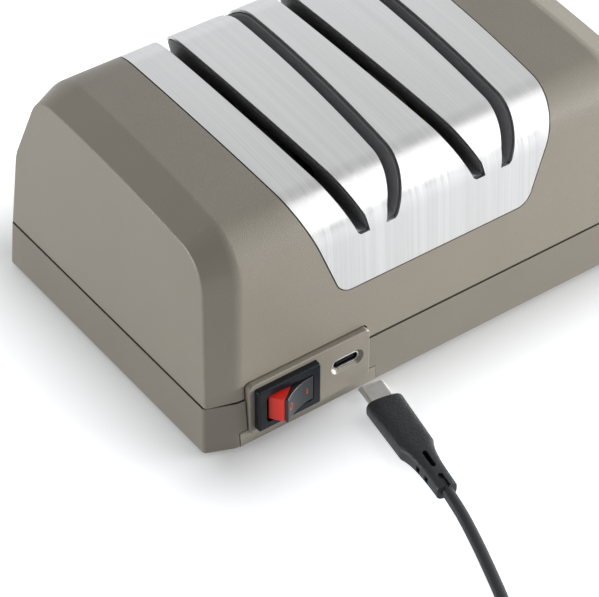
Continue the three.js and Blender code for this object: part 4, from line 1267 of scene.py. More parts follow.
@dataclass(frozen=True)
class Panel:
    """The front panel that carries the switch and the charging socket, with its toe strip."""

    left: float = -68.0
    right: float = -25.9
    top: float = 21.2
    proud: float = 0.3
    back: float = 4.3
    strip_left: float = -70.8
    strip_right: float = -23.4
    strip_top: float = 5.2
    strip_proud: float = 0.1
    strip_edge: float = 0.7
    corner: float = 1.6
    edge: float = 0.45
    gap: float = 0.32
    step_behind: float = 1.75
    step: float = 1.2
    corner_steps: int = 8

    def face_outline(self, grow: float, bottom: float) -> Pen:
        """Draws the panel's upright face with four round corners."""
        turn = self.corner
        left, right = self.left - grow + turn, self.right + grow - turn
        low, high = bottom + turn, self.top + grow - turn
        pen = Pen(in_xz, (left, bottom))
        for number, centre in enumerate(((right, low), (right, high), (left, high), (left, low)), -1):
            pen.corner(centre, turn, number * QUARTER, QUARTER, self.corner_steps)
        return pen

    def opening(self) -> Form:
        """A cutter of the panel's whole outline, from before the case to behind the panel."""
        back = self.back + GAP
        upright = prism(self.face_outline(self.gap, -OVERRUN), -back, OVERRUN)
        low = (self.strip_left - self.gap / 2, -OVERRUN, -OVERRUN)
        high = (self.strip_right + self.gap / 2, back, self.strip_top + self.gap / 2)
        return upright.with_cuts([block(low, high)], Cut.JOIN)

    def shadow_step(self) -> Form:
        """A cutter that steps the panel's flank down behind the case's skin, to keep the gap dark."""
        back = self.back + self.step
        ring = prism(self.face_outline(self.step, self.strip_top), -back, -self.step_behind)
        core = prism(self.face_outline(-self.step, self.strip_top - OVERRUN), -back - OVERRUN, 0)
        return ring.with_cuts([core], Cut.AWAY)

    def strip(self, lean: float) -> Form:
        """The toe strip below the panel's face, which leans back as the base does."""
        form = block((self.strip_left, -self.strip_proud, 0), (self.strip_right, self.back, self.strip_top))
        for vert in form.mesh.verts:
            vert.co.y += lean * vert.co.z * (vert.co.y < self.back / 2)
        toe = [e for e in form.mesh.edges if all(v.co.y < 0 and v.co.z < WELD for v in e.verts)]
        return form.bevel(toe, self.strip_edge, 4)

    def build(self, shop: Workshop, section: Section, switch: "RockerSwitch", port: "Port") -> None:
        """Makes the panel with its two holes."""
        form = prism(self.face_outline(0, self.strip_top - self.corner), -self.back, self.proud)
        front = [e for e in form.sharp(FOLD) if all(v.co.y < 0 for v in e.verts)]
        form.bevel(front, self.edge, 3)
        form.with_cuts([self.shadow_step()], Cut.AWAY)
        form.with_cuts([self.strip(section.base_front_lean)], Cut.JOIN)
        form.with_cuts([switch.hole(), port.hole()], Cut.AWAY)
        mouth = [e for e in form.sharp() if port.at_mouth(e, self.proud)]
        form.bevel(mouth, port.taper, 1)
        shop.piece(form, "front_panel_face", Finish.HOUSING, "casing", ["front_panel"])


def stadium(middle: Point, width: float, height: float, start: float, end: float, steps: int = 12) -> Form:
    """A bar with round short sides along Y.

    Args:
        middle: The middle of its section, as X and Z.
        width: Its width along X.
        height: Its height along Z.
        start: Where it starts along Y.
        end: Where it ends.
        steps: How many steps make each round side.

    Returns:
        The closed bar.
    """
    radius = height / 2
    reach = width / 2 - radius
    pen = Pen(in_xz, (middle[0] + reach, middle[1] - radius))
    pen.arc((middle[0] + reach, middle[1]), math.pi, steps)
    pen.corner((middle[0] - reach, middle[1]), radius, QUARTER, math.pi, steps)
    return prism(pen, -end, -start)


def beam(middle: Point, width: float, height: float, start: float, end: float) -> Form:
    """A bar with square sides along Y.

    Args:
        middle: The middle of its section, as X and Z.
        width: Its width along X.
        height: Its height along Z.
        start: Where it starts along Y.
        end: Where it ends.

    Returns:
        The closed bar.
    """
    x, z = middle
    low = (x - width / 2, start, z - height / 2)
    return block(low, (x + width / 2, end, z + height / 2))


@dataclass(frozen=True)
class Port:
    """The charging socket behind its oval hole, whose mouth is tapered."""

    x: float = -33.95
    z: float = 12.85
    width: float = 9.5
    height: float = 3.4
    clear: float = 0.15
    taper: float = 0.9
    wall: float = 0.4
    # Thickness of the black sleeve inside the shell, which paints shade into the socket
    lining: float = 0.1
    depth: float = 7.4
    tongue_width: float = 6.6
    tongue_thickness: float = 0.6
    tongue_inset: float = 0.2
    contacts: int = 12
    contact_pitch: float = 0.5
    contact_width: float = 0.26

    @property
    def middle(self) -> Point:
        """The middle of the socket, as X and Z."""
        return self.x, self.z

    def hole(self) -> Form:
        """A cutter of the hole for the shell."""
        width, height = self.width + 2 * self.clear, self.height + 2 * self.clear
        return stadium(self.middle, width, height, -OVERRUN, 2 * OVERRUN)

    def at_mouth(self, edge: bmesh.types.BMEdge, proud: float) -> bool:
        """Whether an edge runs round the hole at the panel's face."""
        middle = (edge.verts[0].co + edge.verts[1].co) / 2
        beside = abs(middle.x - self.x) < self.width / 2 + GAP
        level = abs(middle.z - self.z) < self.height / 2 + GAP
        return beside and level and all(v.co.y < WELD - proud for v in edge.verts)

    def build(self, shop: Workshop, proud: float) -> None:
        """Makes the socket's shell, its black lining of painted shade, its tongue and its contacts."""
        front = self.taper - proud
        back = front + self.depth
        shell = stadium(self.middle, self.width, self.height, front, back)
        shell.rounded(self.wall / 3)
        width, height = self.width - 2 * self.wall, self.height - 2 * self.wall
        inner = stadium(self.middle, width, height, -OVERRUN, back - self.wall)
        # A thin black sleeve over the metal shell's inside: painted shade, where the socket is only in shade
        lining = inner.copy().slice((0, front + self.wall, 0), (0, -1, 0)).tidy()
        shell.with_cuts([inner], Cut.AWAY)
        shop.piece(shell, "charging_port_shell", Finish.PORT_METAL, "casing", ["usb_socket"])
        width, height = width - 2 * self.lining, height - 2 * self.lining
        hollow = stadium(self.middle, width, height, -OVERRUN, back - 2 * self.wall)
        lining.with_cuts([hollow], Cut.AWAY)
        shop.piece(lining, "charging_port_painted_shade_sleeve", Finish.BLACK, "casing")
        thickness = self.tongue_thickness
        start = front + self.tongue_inset
        tongue = beam(self.middle, self.tongue_width, thickness, start, back - 2 * self.wall)
        tongue.rounded(thickness / 4)
        shop.piece(tongue, "charging_port_tongue", Finish.BLACK, "casing")
        pads = Form()
        first = self.x - self.contact_pitch * (self.contacts - 1) / 2
        start += self.tongue_inset
        for number in range(self.contacts):
            spot = (first + number * self.contact_pitch, self.z)
            pads.add(beam(spot, self.contact_width, thickness + GAP / 3, start, back - self.depth / 3))
        shop.piece(pads, "charging_port_contacts", Finish.PORT_METAL, "casing")


@dataclass(frozen=True)
class RockerSwitch:
    """The mains-style rocker switch: a bevelled frame and a red rocker under a dark concave cap."""

    x: float = -55.4
    z: float = 12.3
    width: float = 21.4
    height: float = 14.9
    proud: float = 2.2
    front_edge: float = 0.8
    corner: float = 0.7
    body_width: float = 18.6
    body_height: float = 12.4
    body_depth: float = 14.0
    opening_width: float = 16.2
    opening_height: float = 9.8
    opening_corner: float = 1.2
    opening_depth: float = 13.0
    tab_width: float = 4.8
    tab_thickness: float = 0.8
    tab_length: float = 7.0
    tab_pitch: float = 9.5
    pivot_behind_foot: float = 1.4
    tip_radius: float = 8.8
    rocker_height: float = 8.6
    flank: float = 5.9
    hub_half_width: float = 3.0
    hub_back: float = 2.6
    hollow: float = 1.0
    cap: float = 0.9
    soft: float = 0.4
    pin_radius: float = 1.4
    tip: float = math.radians(43.8)
    throw: float = math.radians(18.8)
    mark_rise: float = 0.06
    mark_share: float = 0.62
    bar_height: float = 1.9
    bar_width: float = 0.32
    ring_height: float = 2.4
    ring_width: float = 1.8
    ring_line: float = 0.24
    outer_rim: float = 1.5
    body_overlap: float = 1.0
    corner_steps: int = 5
    opening_steps: int = 6
    soft_steps: int = 4
    bowl_steps: int = 20
    mark_steps: int = 256

    def hole(self) -> Form:
        """A cutter of the hole that the frame's body needs in the panel."""
        width, height = self.body_width + 2 * GAP, self.body_height + 2 * GAP
        return beam((self.x, self.z), width, height, -OVERRUN, 2 * OVERRUN)

    def frame(self, shop: Workshop, panel_proud: float) -> None:
        """Makes the frame with its opening and its two terminals."""
        front = -panel_proud - self.proud
        back = -panel_proud + self.body_depth
        middle = (self.x, self.z)
        form = beam(middle, self.width, self.height, front, -panel_proud)
        form.bevel(form.running(1), self.corner, self.corner_steps)
        rim = [e for e in form.sharp() if all(v.co.y < front + WELD for v in e.verts)]
        form.bevel(rim, self.front_edge, self.corner_steps)
        start = -panel_proud - self.body_overlap
        form.with_cuts([beam(middle, self.body_width, self.body_height, start, back)], Cut.JOIN)
        end = front + self.opening_depth
        opening = beam(middle, self.opening_width, self.opening_height, -OVERRUN, end)
        opening.bevel(opening.running(1), self.opening_corner, self.opening_steps)
        form.with_cuts([opening], Cut.AWAY)
        within = self.width / 2 - self.outer_rim
        lip = [
            e
            for e in form.sharp()
            if all(v.co.y < front + WELD and abs(v.co.x - self.x) < within for v in e.verts)
        ]
        form.bevel(lip, GAP, 3)
        shop.piece(form, "switch_bezel", Finish.BEZEL, "casing", ["switch_frame"])
        tabs = Form()
        start, end = back - self.tab_thickness, back + self.tab_length
        for side in (-1, 1):
            spot = (self.x + side * self.tab_pitch / 2, self.z)
            tab = beam(spot, self.tab_thickness, self.tab_width, start, end)
            tabs.add(tab.rounded(self.tab_thickness / 4))
        shop.piece(tabs, "switch_terminals", Finish.ZINC, "casing")

    @property
    def place(self) -> Matrix:
        """Takes the rocker from its own frame, with the pivot at zero, to the case."""
        spot = Matrix.Translation((self.x, self.pivot_behind_foot, self.z))
        return spot @ Matrix.Rotation(self.throw, 4, "Z")

    @property
    def tip_place(self) -> tuple[float, float]:
        """The right tip of the cap in the rocker's own frame."""
        return polar((0, 0), self.tip_radius, self.tip - QUARTER)

    @property
    def bowl(self) -> tuple[float, float]:
        """How far in front of the pivot the bowl's centre lies, and the bowl's radius."""
        across, forward = self.tip_place
        radius = (across**2 + self.hollow**2) / (2 * self.hollow)
        return forward + self.hollow - radius, radius

    def rocker(self, shop: Workshop) -> None:
        """Makes the red body, the dark cap and the two marks."""
        across, forward = self.tip_place
        behind = self.flank * math.cos(self.throw)
        flank = (across + self.flank * math.sin(self.throw), forward + behind)
        brim = (-across - math.tan(self.throw) * self.cap, forward + self.cap)
        seat = GAP / 10
        half = self.rocker_height / 2
        pen = Pen(in_xy, (brim[0], brim[1] + seat))
        pen.line((-flank[0], flank[1]), (-self.hub_half_width, self.hub_back))
        pen.line((self.hub_half_width, self.hub_back), (flank[0], flank[1] + seat))
        body = prism(pen, -half + GAP / 3, half - GAP / 3)
        body.rounded(self.soft, self.soft_steps, BEND)
        reach = self.opening_height / 2 - GAP
        pin = rod(self.pin_radius, -reach, reach, Axis.Z, (0, 0, 0), 32)
        body.with_cuts([pin], Cut.JOIN).transform(self.place)
        shop.piece(body, "rocker_body", Finish.RED, "switch_rocker", ["rocker"], BEND)
        centre, radius = self.bowl
        half_turn = math.atan2(across, forward - centre)
        pen = Pen(in_xy, (-across, forward))
        pen.corner((0, centre), radius, QUARTER + half_turn, -2 * half_turn, self.bowl_steps)
        pen.line(flank, brim)
        cap = prism(pen, -half, half).rounded(GAP, self.soft_steps, BEND).transform(self.place)
        shop.piece(cap, "rocker_cap", Finish.CAP, "switch_rocker", (), BEND)
        self.marks(shop)

    def marks(self, shop: Workshop) -> None:
        """Makes the bar for on and the ring for off, in paint that stands just proud of the bowl."""
        across, _ = self.tip_place
        forward, radius = self.bowl
        ground, limit = (
            rod(radius + rise, -OVERRUN, OVERRUN, Axis.Z, (0, forward, 0), self.mark_steps)
            for rise in (self.mark_rise, -self.mark_rise)
        )
        ground.with_cuts([limit], Cut.AWAY)
        bar_x = across * self.mark_share
        bar = beam((bar_x, 0), self.bar_width, self.bar_height, -self.tip_radius, 0)
        inner = self.ring_width - 2 * self.ring_line
        ring = stadium((0, 0), self.ring_width, self.ring_width, -self.tip_radius, 0, self.bowl_steps)
        hole = stadium((0, 0), inner, inner, -OVERRUN * 2, OVERRUN, self.bowl_steps)
        ring.with_cuts([hole], Cut.AWAY)
        ring.transform(Matrix.Diagonal((1, 1, self.ring_height / self.ring_width, 1)))
        ring.move(-bar_x, 0, 0)
        for name, form in (("on_mark", bar), ("off_mark", ring)):
            form.with_cuts([ground.copy()], Cut.WITHIN)
            shop.piece(form.transform(self.place), name, Finish.MARK, "switch_rocker")
        ground.mesh.free()


@dataclass(frozen=True)
class Fittings:
    """Four things at the corners of the base."""

    from_end: float
    from_front: float
    from_rear: float

    def places(self, section: Section) -> list[tuple[float, float]]:
        """Where they stand."""
        x = section.length / 2 - self.from_end
        return [(side * x, y) for side in (-1, 1) for y in (self.from_front, section.depth - self.from_rear)]


@dataclass(frozen=True)
class Screws(Fittings):
    """The four base screws and the columns that they bite into."""

    from_end: float = 12.45
    from_front: float = 26.0
    from_rear: float = 18.8
    head_radius: float = 3.0
    head_height: float = 1.6
    radius: float = 1.5
    bore: float = 1.8
    counterbore: float = 3.4
    depth: float = 2.1
    length: float = 22.0
    column_radius: float = 4.0
    cross_width: float = 0.9
    cross_length: float = 3.4
    cross_depth: float = 1.0
    thread_pitch: float = 1.2
    thread_rise: float = 0.25

    def columns(self, section: Section, bottom: float, top: float) -> list[Form]:
        """The columns between two heights."""
        return [rod(self.column_radius, bottom, top, Axis.Z, (x, y, 0), 32) for x, y in self.places(section)]

    def bores(self, section: Section, bottom: float) -> list[Form]:
        """The bores up to the screws' ends."""
        top = self.length + GAP
        return [rod(self.bore, bottom, top, Axis.Z, (x, y, 0), 32) for x, y in self.places(section)]

    def heads(self, section: Section) -> list[Form]:
        """The cutters of the recesses that the heads sit in."""
        radius = self.counterbore
        return [rod(radius, -OVERRUN, self.depth, Axis.Z, (x, y, 0)) for x, y in self.places(section)]

    def build(self, shop: Workshop, section: Section) -> None:
        """Makes the screws, with cross recesses and threads."""
        top = self.depth - GAP
        low = top - self.head_height
        for number, (x, y) in enumerate(self.places(section), 1):
            profile = [(0, low), (self.head_radius - GAP, low), (self.head_radius, low + GAP)]
            profile += [(self.head_radius, top), (self.radius, top)]
            height = top + self.thread_pitch
            while height < self.length - 2 * self.thread_pitch:
                crest = (self.radius + self.thread_rise - GAP / 10, height + self.thread_pitch / 2)
                profile += [(self.radius - self.thread_rise, height), crest]
                height += self.thread_pitch
            profile += [(self.radius - self.thread_rise, height), (0, self.length)]
            form = turned(profile, Axis.Z, (x, y, 0), 32)
            half, slim = self.cross_length / 2, self.cross_width / 2
            floor = low + self.cross_depth
            bars = [block((x - half, y - slim, low - 1), (x + half, y + slim, floor))]
            bars.append(block((x - slim, y - half, low - 1), (x + slim, y + half, floor)))
            form.with_cuts(bars, Cut.AWAY)
            name = f"cross_screw_{number}"
            shop.piece(form, name, Finish.ZINC, "casing", [f"base_screw_{number}"])


@dataclass(frozen=True)
class Feet(Fittings):
    """The four rubber feet, let into the base."""

    from_end: float = 28.95
    from_front: float = 15.0
    from_rear: float = 14.8
    radius: float = 7.0
    height: float = 1.2
    recess: float = 1.1
    edge: float = 0.5
    dish: float = 0.3

    def recesses(self, section: Section) -> list[Form]:
        """The cutters of the recesses that the feet sit in."""
        radius = self.radius + GAP
        return [rod(radius, -OVERRUN, self.recess, Axis.Z, (x, y, 0)) for x, y in self.places(section)]

    def build(self, shop: Workshop, section: Section) -> None:
        """Makes the feet: dished pads with a round lower edge."""
        top = self.recess - GAP
        for number, (x, y) in enumerate(self.places(section), 1):
            profile = [(0, self.dish - self.height), (self.radius / 2, self.dish - self.height)]
            profile += [(self.radius * 2 / 3, -self.height), (self.radius - self.edge, -self.height)]
            profile += [(self.radius, self.edge - self.height), (self.radius, top), (0, top)]
            form = turned(profile, Axis.Z, (x, y, 0))
            name = f"rubber_foot_{number}"
            shop.piece(form, name, Finish.RUBBER, "casing", [f"foot_{number}"])


@dataclass(frozen=True)
class Drive:
    """The discs and springs on the spindle, and the finishes of the drive's other solids."""

    y: float = 50.0
    z: float = 39.5
    spindle_radius: float = 3.0
    radius: float = 20.0
    rim_radius: float = 19.2
    hub_face: float = 7.4
    rim_face: float = 5.4
    inner_face: float = 2.6
    hub_radius: float = 7.5
    hub_inner: float = 4.4
    cup_radius: float = 6.5
    collar_half: float = 0.9
    spring_radius: float = 5.0
    spring_wire: float = 0.35
    spring_turns: float = 3.5
    spring_keep: float = 0.5
    steps_per_turn: int = 20
    wire_sides: int = 8
    disc_steps: int = 96

    def disc(self, centre: float, side: int) -> Form:
        """One disc: a hub, a cup for its spring and a flat grinding face with a bevelled rim."""
        bore = self.spindle_radius + GAP
        edge_face = self.rim_face - self.radius + self.rim_radius
        profile = [(bore, self.hub_inner), (self.cup_radius, self.hub_inner)]
        profile += [(self.cup_radius, self.inner_face), (self.radius, self.inner_face)]
        profile += [(self.radius, edge_face), (self.rim_radius, self.rim_face)]
        profile += [(self.hub_radius, self.hub_face), (bore, self.hub_face), profile[0]]
        form = turned(profile, Axis.X, (0, 0, 0), self.disc_steps)
        form.transform(Matrix.Diagonal((side, 1, 1, 1)))
        return form.move(centre, self.y, self.z).tidy()

    def spring(self, centre: float, side: int) -> Form:
        """One compression spring of round wire between the collar and the disc's cup."""
        form = Form()
        start = self.collar_half + GAP + self.spring_wire
        length = self.hub_inner - GAP - self.spring_wire - start
        bmesh.ops.create_circle(form.mesh, cap_ends=True, segments=self.wire_sides, radius=self.spring_wire)
        form.transform(Matrix.Rotation(math.pi, 4, "X")).move(start, self.spring_radius, 0)
        steps = round(self.spring_turns * self.steps_per_turn)
        rise = (length / steps, 0, 0)
        form.spin(form.mesh.faces, (0, 0, 0), (1, 0, 0), self.spring_turns * math.tau, steps, rise)
        form.tidy().transform(Matrix.Diagonal((side, 1, 1, 1)))
        return form.move(centre, self.y, self.z).tidy()

    def build(self, shop: Workshop, stages: Stages) -> None:
        """Makes discs and springs and gives the drive's solids their finishes."""
        slots = ("abrasive", "honing")
        kinds = ("grinding", "honing")
        finishes = (Finish.ABRASIVE, Finish.HONING)
        rows = zip(stages.centres, kinds, finishes, slots)
        for number, (centre, kind, finish, slot) in enumerate(rows, 1):
            for hand, side in (("left", -1), ("right", 1)):
                form = self.disc(centre, side)
                node = f"disc_{number}_{hand}"
                shop.piece(form, f"{kind}_wheel_{hand}", finish, f"{kind}_disc_{hand}", [node])
                form = self.spring(centre, side)
                name = f"wheel_spring_{number}_{hand}"
                node = f"disc_spring_{number}_{hand}"
                spring = shop.piece(form, name, Finish.ZINC, "spindle", [node])
                fixed = shop.case @ Vector((centre + side * (self.collar_half + GAP), self.y, self.z))
                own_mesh(spring)
            shop.dress_solid(f"spring_collar_{number}", Finish.ZINC)
            shop.dress_solid(f"bearing_bracket_{number}", Finish.FRAME)
            shop.dress_solid(f"bearing_{number}", Finish.ZINC)
            shop.dress_solid(f"battery_cell_{number}", Finish.CELL)
        for node in ("motor_mount", "battery_cradle"):
            shop.dress_solid(node, Finish.FRAME)
        for node in ("spindle_shaft", "motor_shaft", "shaft_coupling"):
            shop.dress_solid(node, Finish.ZINC)
        shop.dress_solid("motor", Finish.CAN)
        shop.dress_solid("charging_board", Finish.BOARD)


def build_case(shop: Workshop, case: Case, stages: Stages, plate: GuidePlate, panel: Panel) -> None:
    """Makes the housing, the base and the liners of the slots.

    Args:
        shop: The workshop.
        case: The case's sizes.
        stages: The two stages.
        plate: The steel plate.
        panel: The front panel.
    """
    section = case.section
    screws = Screws()
    feet = Feet()
    form = housing(case, stages, plate, panel, screws)
    shop.piece(form, "housing_shell", Finish.HOUSING, "casing", ["upper_housing"])
    tray = case.soft_base()
    tray.with_cuts([case.base(case.wall, case.floor, section.seam_height + OVERRUN)], Cut.AWAY)
    tray.with_cuts(screws.columns(section, case.base_edge, section.seam_height), Cut.JOIN)
    cuts = [*screws.bores(section, -OVERRUN), *screws.heads(section), *feet.recesses(section)]
    tray.with_cuts([*cuts, panel.opening(), case.groove()], Cut.AWAY)
    shop.piece(tray, "base_tray", Finish.TRAY, "casing", ["base_shell"])
    screws.build(shop, section)
    feet.build(shop, section)
    drive = Drive()
    reach = drive.radius + stages.pocket_clear
    half = stages.pocket_half_width
    bottom = section.crown_height - stages.slot_depth - stages.insert_floor - OVERRUN
    for number, centre in enumerate(stages.centres, 1):
        liner = liner_block(section, stages, centre, 0, plate.thickness + GAP)
        low = (centre - half, drive.y - reach, bottom)
        pocket = block(low, (centre + half, drive.y + reach, drive.z + reach))
        slots = [stages.slot(section, number - 1, side, -stages.narrower) for side in (-1, 1)]
        liner.with_cuts([pocket, *slots], Cut.AWAY)
        liner.bevel([e for e in liner.sharp(FOLD) if stages.at_rim(e, drive)], stages.lip)
        name = f"slot_liner_{number}"
        shop.piece(liner, name, Finish.LINER, "casing", [f"guide_insert_{number}"])


@dataclass(frozen=True)
class PlugC:
    """The oval plug in front of the appliance: shell, overmould and slotted strain relief."""

    place: Point = (-27.5, -55.3, 3.2)
    heading: float = math.radians(-10.7)
    shell_width: float = 8.3
    shell_height: float = 2.5
    shell_length: float = 7.6
    shell_wall: float = 0.35
    mouth: float = 5.0
    body_width: float = 11.6
    body_height: float = 6.4
    body_length: float = 20.5
    shoulder_width: float = 10.7
    tail_width: float = 6.2
    tail_height: float = 5.0
    tail_length: float = 17.8
    fall: float = 4.4
    front_round: float = 0.9
    side_power: float = 3.2
    ring_points: int = 64
    slot_width: float = 1.5
    slots: tuple[tuple[float, float, float], ...] = ((3.9, 10.4, 2.3), (13.2, 18.6, 0.9))
    side_slots: tuple[tuple[float, float], ...] = ((6.6, 8.2), (10.9, 12.6))
    side_slot_depth: float = 0.8
    front_steps: int = 5
    tail_steps: int = 14
    slot_steps: int = 8
    body_shares: tuple[float, ...] = (0.3, 0.6, 0.85, 0.97)

    @property
    def to_floor(self) -> Matrix:
        """Takes the plug from its own frame, along -Y from its mouth, to its place on the floor."""
        return Matrix.Translation(self.place) @ Matrix.Rotation(self.heading, 4, "Z")

    @property
    def stations(self) -> list[tuple[float, float, float]]:
        """The overmould's sections, as distance from its front, width and height."""
        rows = []
        for step in range(self.front_steps + 1):
            angle = QUARTER * step / self.front_steps
            drop = self.front_round * (1 - math.sin(angle)) * 2
            ahead = self.front_round * (1 - math.cos(angle))
            rows.append((ahead, self.body_width - drop, self.body_height - drop))
        for share in self.body_shares:
            width = self.body_width + (self.shoulder_width - self.body_width) * share
            rows.append((self.body_length * share, width, self.body_height))
        for step in range(self.tail_steps + 1):
            along = self.tail_length * step / self.tail_steps
            width_share = math.exp(-along / self.fall)
            height_share = math.exp(-along / (2 * self.fall))
            width = self.tail_width + (self.shoulder_width - self.tail_width) * width_share
            height = self.tail_height + (self.body_height - self.tail_height) * height_share
            rows.append((self.body_length + along, width, height))
        end, width, height = rows[-1]
        rows.append((end + GAP / 2, width - GAP / 2, height - GAP / 2))
        rows.append((end + GAP, width - 2 * GAP, height - 2 * GAP))
        return rows

    def oval(self, form: Form) -> bmesh.types.BMFace:
        """Draws the overmould's section, one wide and one high: round sides and a slightly crowned top."""
        made = bmesh.ops.create_circle(form.mesh, cap_ends=True, segments=self.ring_points, radius=0.5)
        for vert in made["verts"]:
            angle = math.atan2(vert.co.y, vert.co.x)
            across, up = math.cos(angle), math.sin(angle)
            reach = (abs(across) ** self.side_power + abs(up) ** self.side_power) ** (-1 / self.side_power)
            vert.co = (reach * across / 2, 0, reach * up / 2)
        return form.mesh.faces[:][0]

    def overmould(self) -> Form:
        """The overmould, drawn out from section to section."""
        form = Form()
        face = self.oval(form)
        start = -self.shell_length - GAP
        ahead, width, height = self.stations[0]
        form.transform(Matrix.Translation((0, start - ahead, 0)) @ Matrix.Diagonal((width, 1, height, 1)))
        for number, (next_ahead, next_width, next_height) in enumerate(self.stations[1:]):
            face, verts = drawn_out(form, face, (0, ahead - next_ahead, 0), number == 0)
            ratio = (next_width / width, 1, next_height / height)
            bmesh.ops.scale(form.mesh, vec=ratio, verts=verts)
            ahead, width, height = next_ahead, next_width, next_height
        form.tidy()
        shoulder = start - self.body_length
        cuts = []
        for near, far, depth in self.slots:
            top = self.body_height
            floor = self.tail_height / 2 - depth
            cuts.append(self.slot(shoulder - far, shoulder - near, floor, top))
        for near, far in self.side_slots:
            for side in (-1, 1):
                inner = self.tail_width / 2 - self.side_slot_depth
                xs = sorted((side * inner, side * self.body_width))
                low = (xs[0], shoulder - far, -self.tail_height / 5)
                cuts.append(block(low, (xs[1], shoulder - near, self.tail_height / 5)))
        return form.with_cuts(cuts, Cut.AWAY)

    def slot(self, far: float, near: float, floor: float, top: float) -> Form:
        """A cutter with round ends for a slot in the strain relief's upper side."""
        radius = self.slot_width / 2
        pen = Pen(in_xy, (radius, far + radius))
        pen.line((radius, near - radius))
        pen.arc((0, near - radius), math.pi, self.slot_steps)
        pen.line((-radius, far + radius))
        pen.arc((0, far + radius), math.pi, self.slot_steps)
        return prism(pen, floor, top)

    def build(self, shop: Workshop) -> list[bpy.types.Object]:
        """Makes the plug and gives back its pieces."""
        width, height = self.shell_width, self.shell_height
        shell = stadium((0, 0), width, height, -self.shell_length - GAP * 2, 0)
        shell.rounded(GAP / 2, 3)
        width, height = width - 2 * self.shell_wall, height - 2 * self.shell_wall
        inner = stadium((0, 0), width, height, -self.mouth, OVERRUN)
        shell.with_cuts([inner], Cut.AWAY).transform(self.to_floor)
        body = self.overmould().transform(self.to_floor)
        return [
            shop.lead_piece(shell, "plug_c_shell", Finish.PLUG_METAL, ["usb_c_shell"]),
            shop.lead_piece(body, "plug_c_overmould", Finish.OVERMOULD, ["usb_c_overmould"], FOLD),
        ]


@dataclass(frozen=True)
class PlugA:
    """The flat plug at the lead's far end."""

    z: float = 4.1
    body_width: float = 15.7
    body_height: float = 8.0
    body_length: float = 20.0
    tail_radius: float = 3.0
    tail_length: float = 7.0
    shell_width: float = 12.0
    shell_height: float = 4.5
    shell_length: float = 12.0
    shell_wall: float = 0.4
    mouth: float = 9.0
    window: float = 2.2
    tongue_inset: float = 1.0
    edge: float = 1.2

    @property
    def length(self) -> float:
        """The plug's whole length, with the gap between shell and overmould."""
        return self.shell_length + GAP + self.body_length + self.tail_length

    def build(self, shop: Workshop, to_floor: Matrix) -> list[bpy.types.Object]:
        """Makes the plug at a place on the floor and gives back its pieces."""
        middle = (0, 0)
        wall = self.shell_wall
        width, height = self.shell_width, self.shell_height
        shell = beam(middle, width, height, -self.shell_length - GAP * 2, 0).rounded(GAP, 3)
        holes = [beam(middle, width - 2 * wall, height - 2 * wall, -self.mouth, 1)]
        near = -self.mouth * 2 / 3
        for side in (-1, 1):
            low = (side * width / 4 - self.window / 2, near, height / 2 - 2 * wall)
            holes.append(block(low, (low[0] + self.window, near + self.window, height / 2 + 1)))
        shell.with_cuts(holes, Cut.AWAY)
        reach = width / 2 - wall - GAP
        low = (-reach, -self.mouth, wall - height / 2 + GAP / 3)
        tongue = block(low, (reach, -self.tongue_inset, 0))
        start = -self.shell_length - GAP
        end = start - self.body_length
        body = beam(middle, self.body_width, self.body_height, end, start).rounded(self.edge, 4)
        tail = rod(self.tail_radius, -2, self.tail_length, Axis.Y, (0, end, 0))
        body.with_cuts([tail], Cut.JOIN)
        for form in (shell, tongue, body):
            form.transform(to_floor)
        return [
            shop.lead_piece(shell, "plug_a_shell", Finish.PLUG_METAL, ["usb_a_shell"]),
            shop.lead_piece(tongue, "plug_a_tongue", Finish.LINER),
            shop.lead_piece(body, "plug_a_overmould", Finish.OVERMOULD, ["usb_a_overmould"]),
        ]


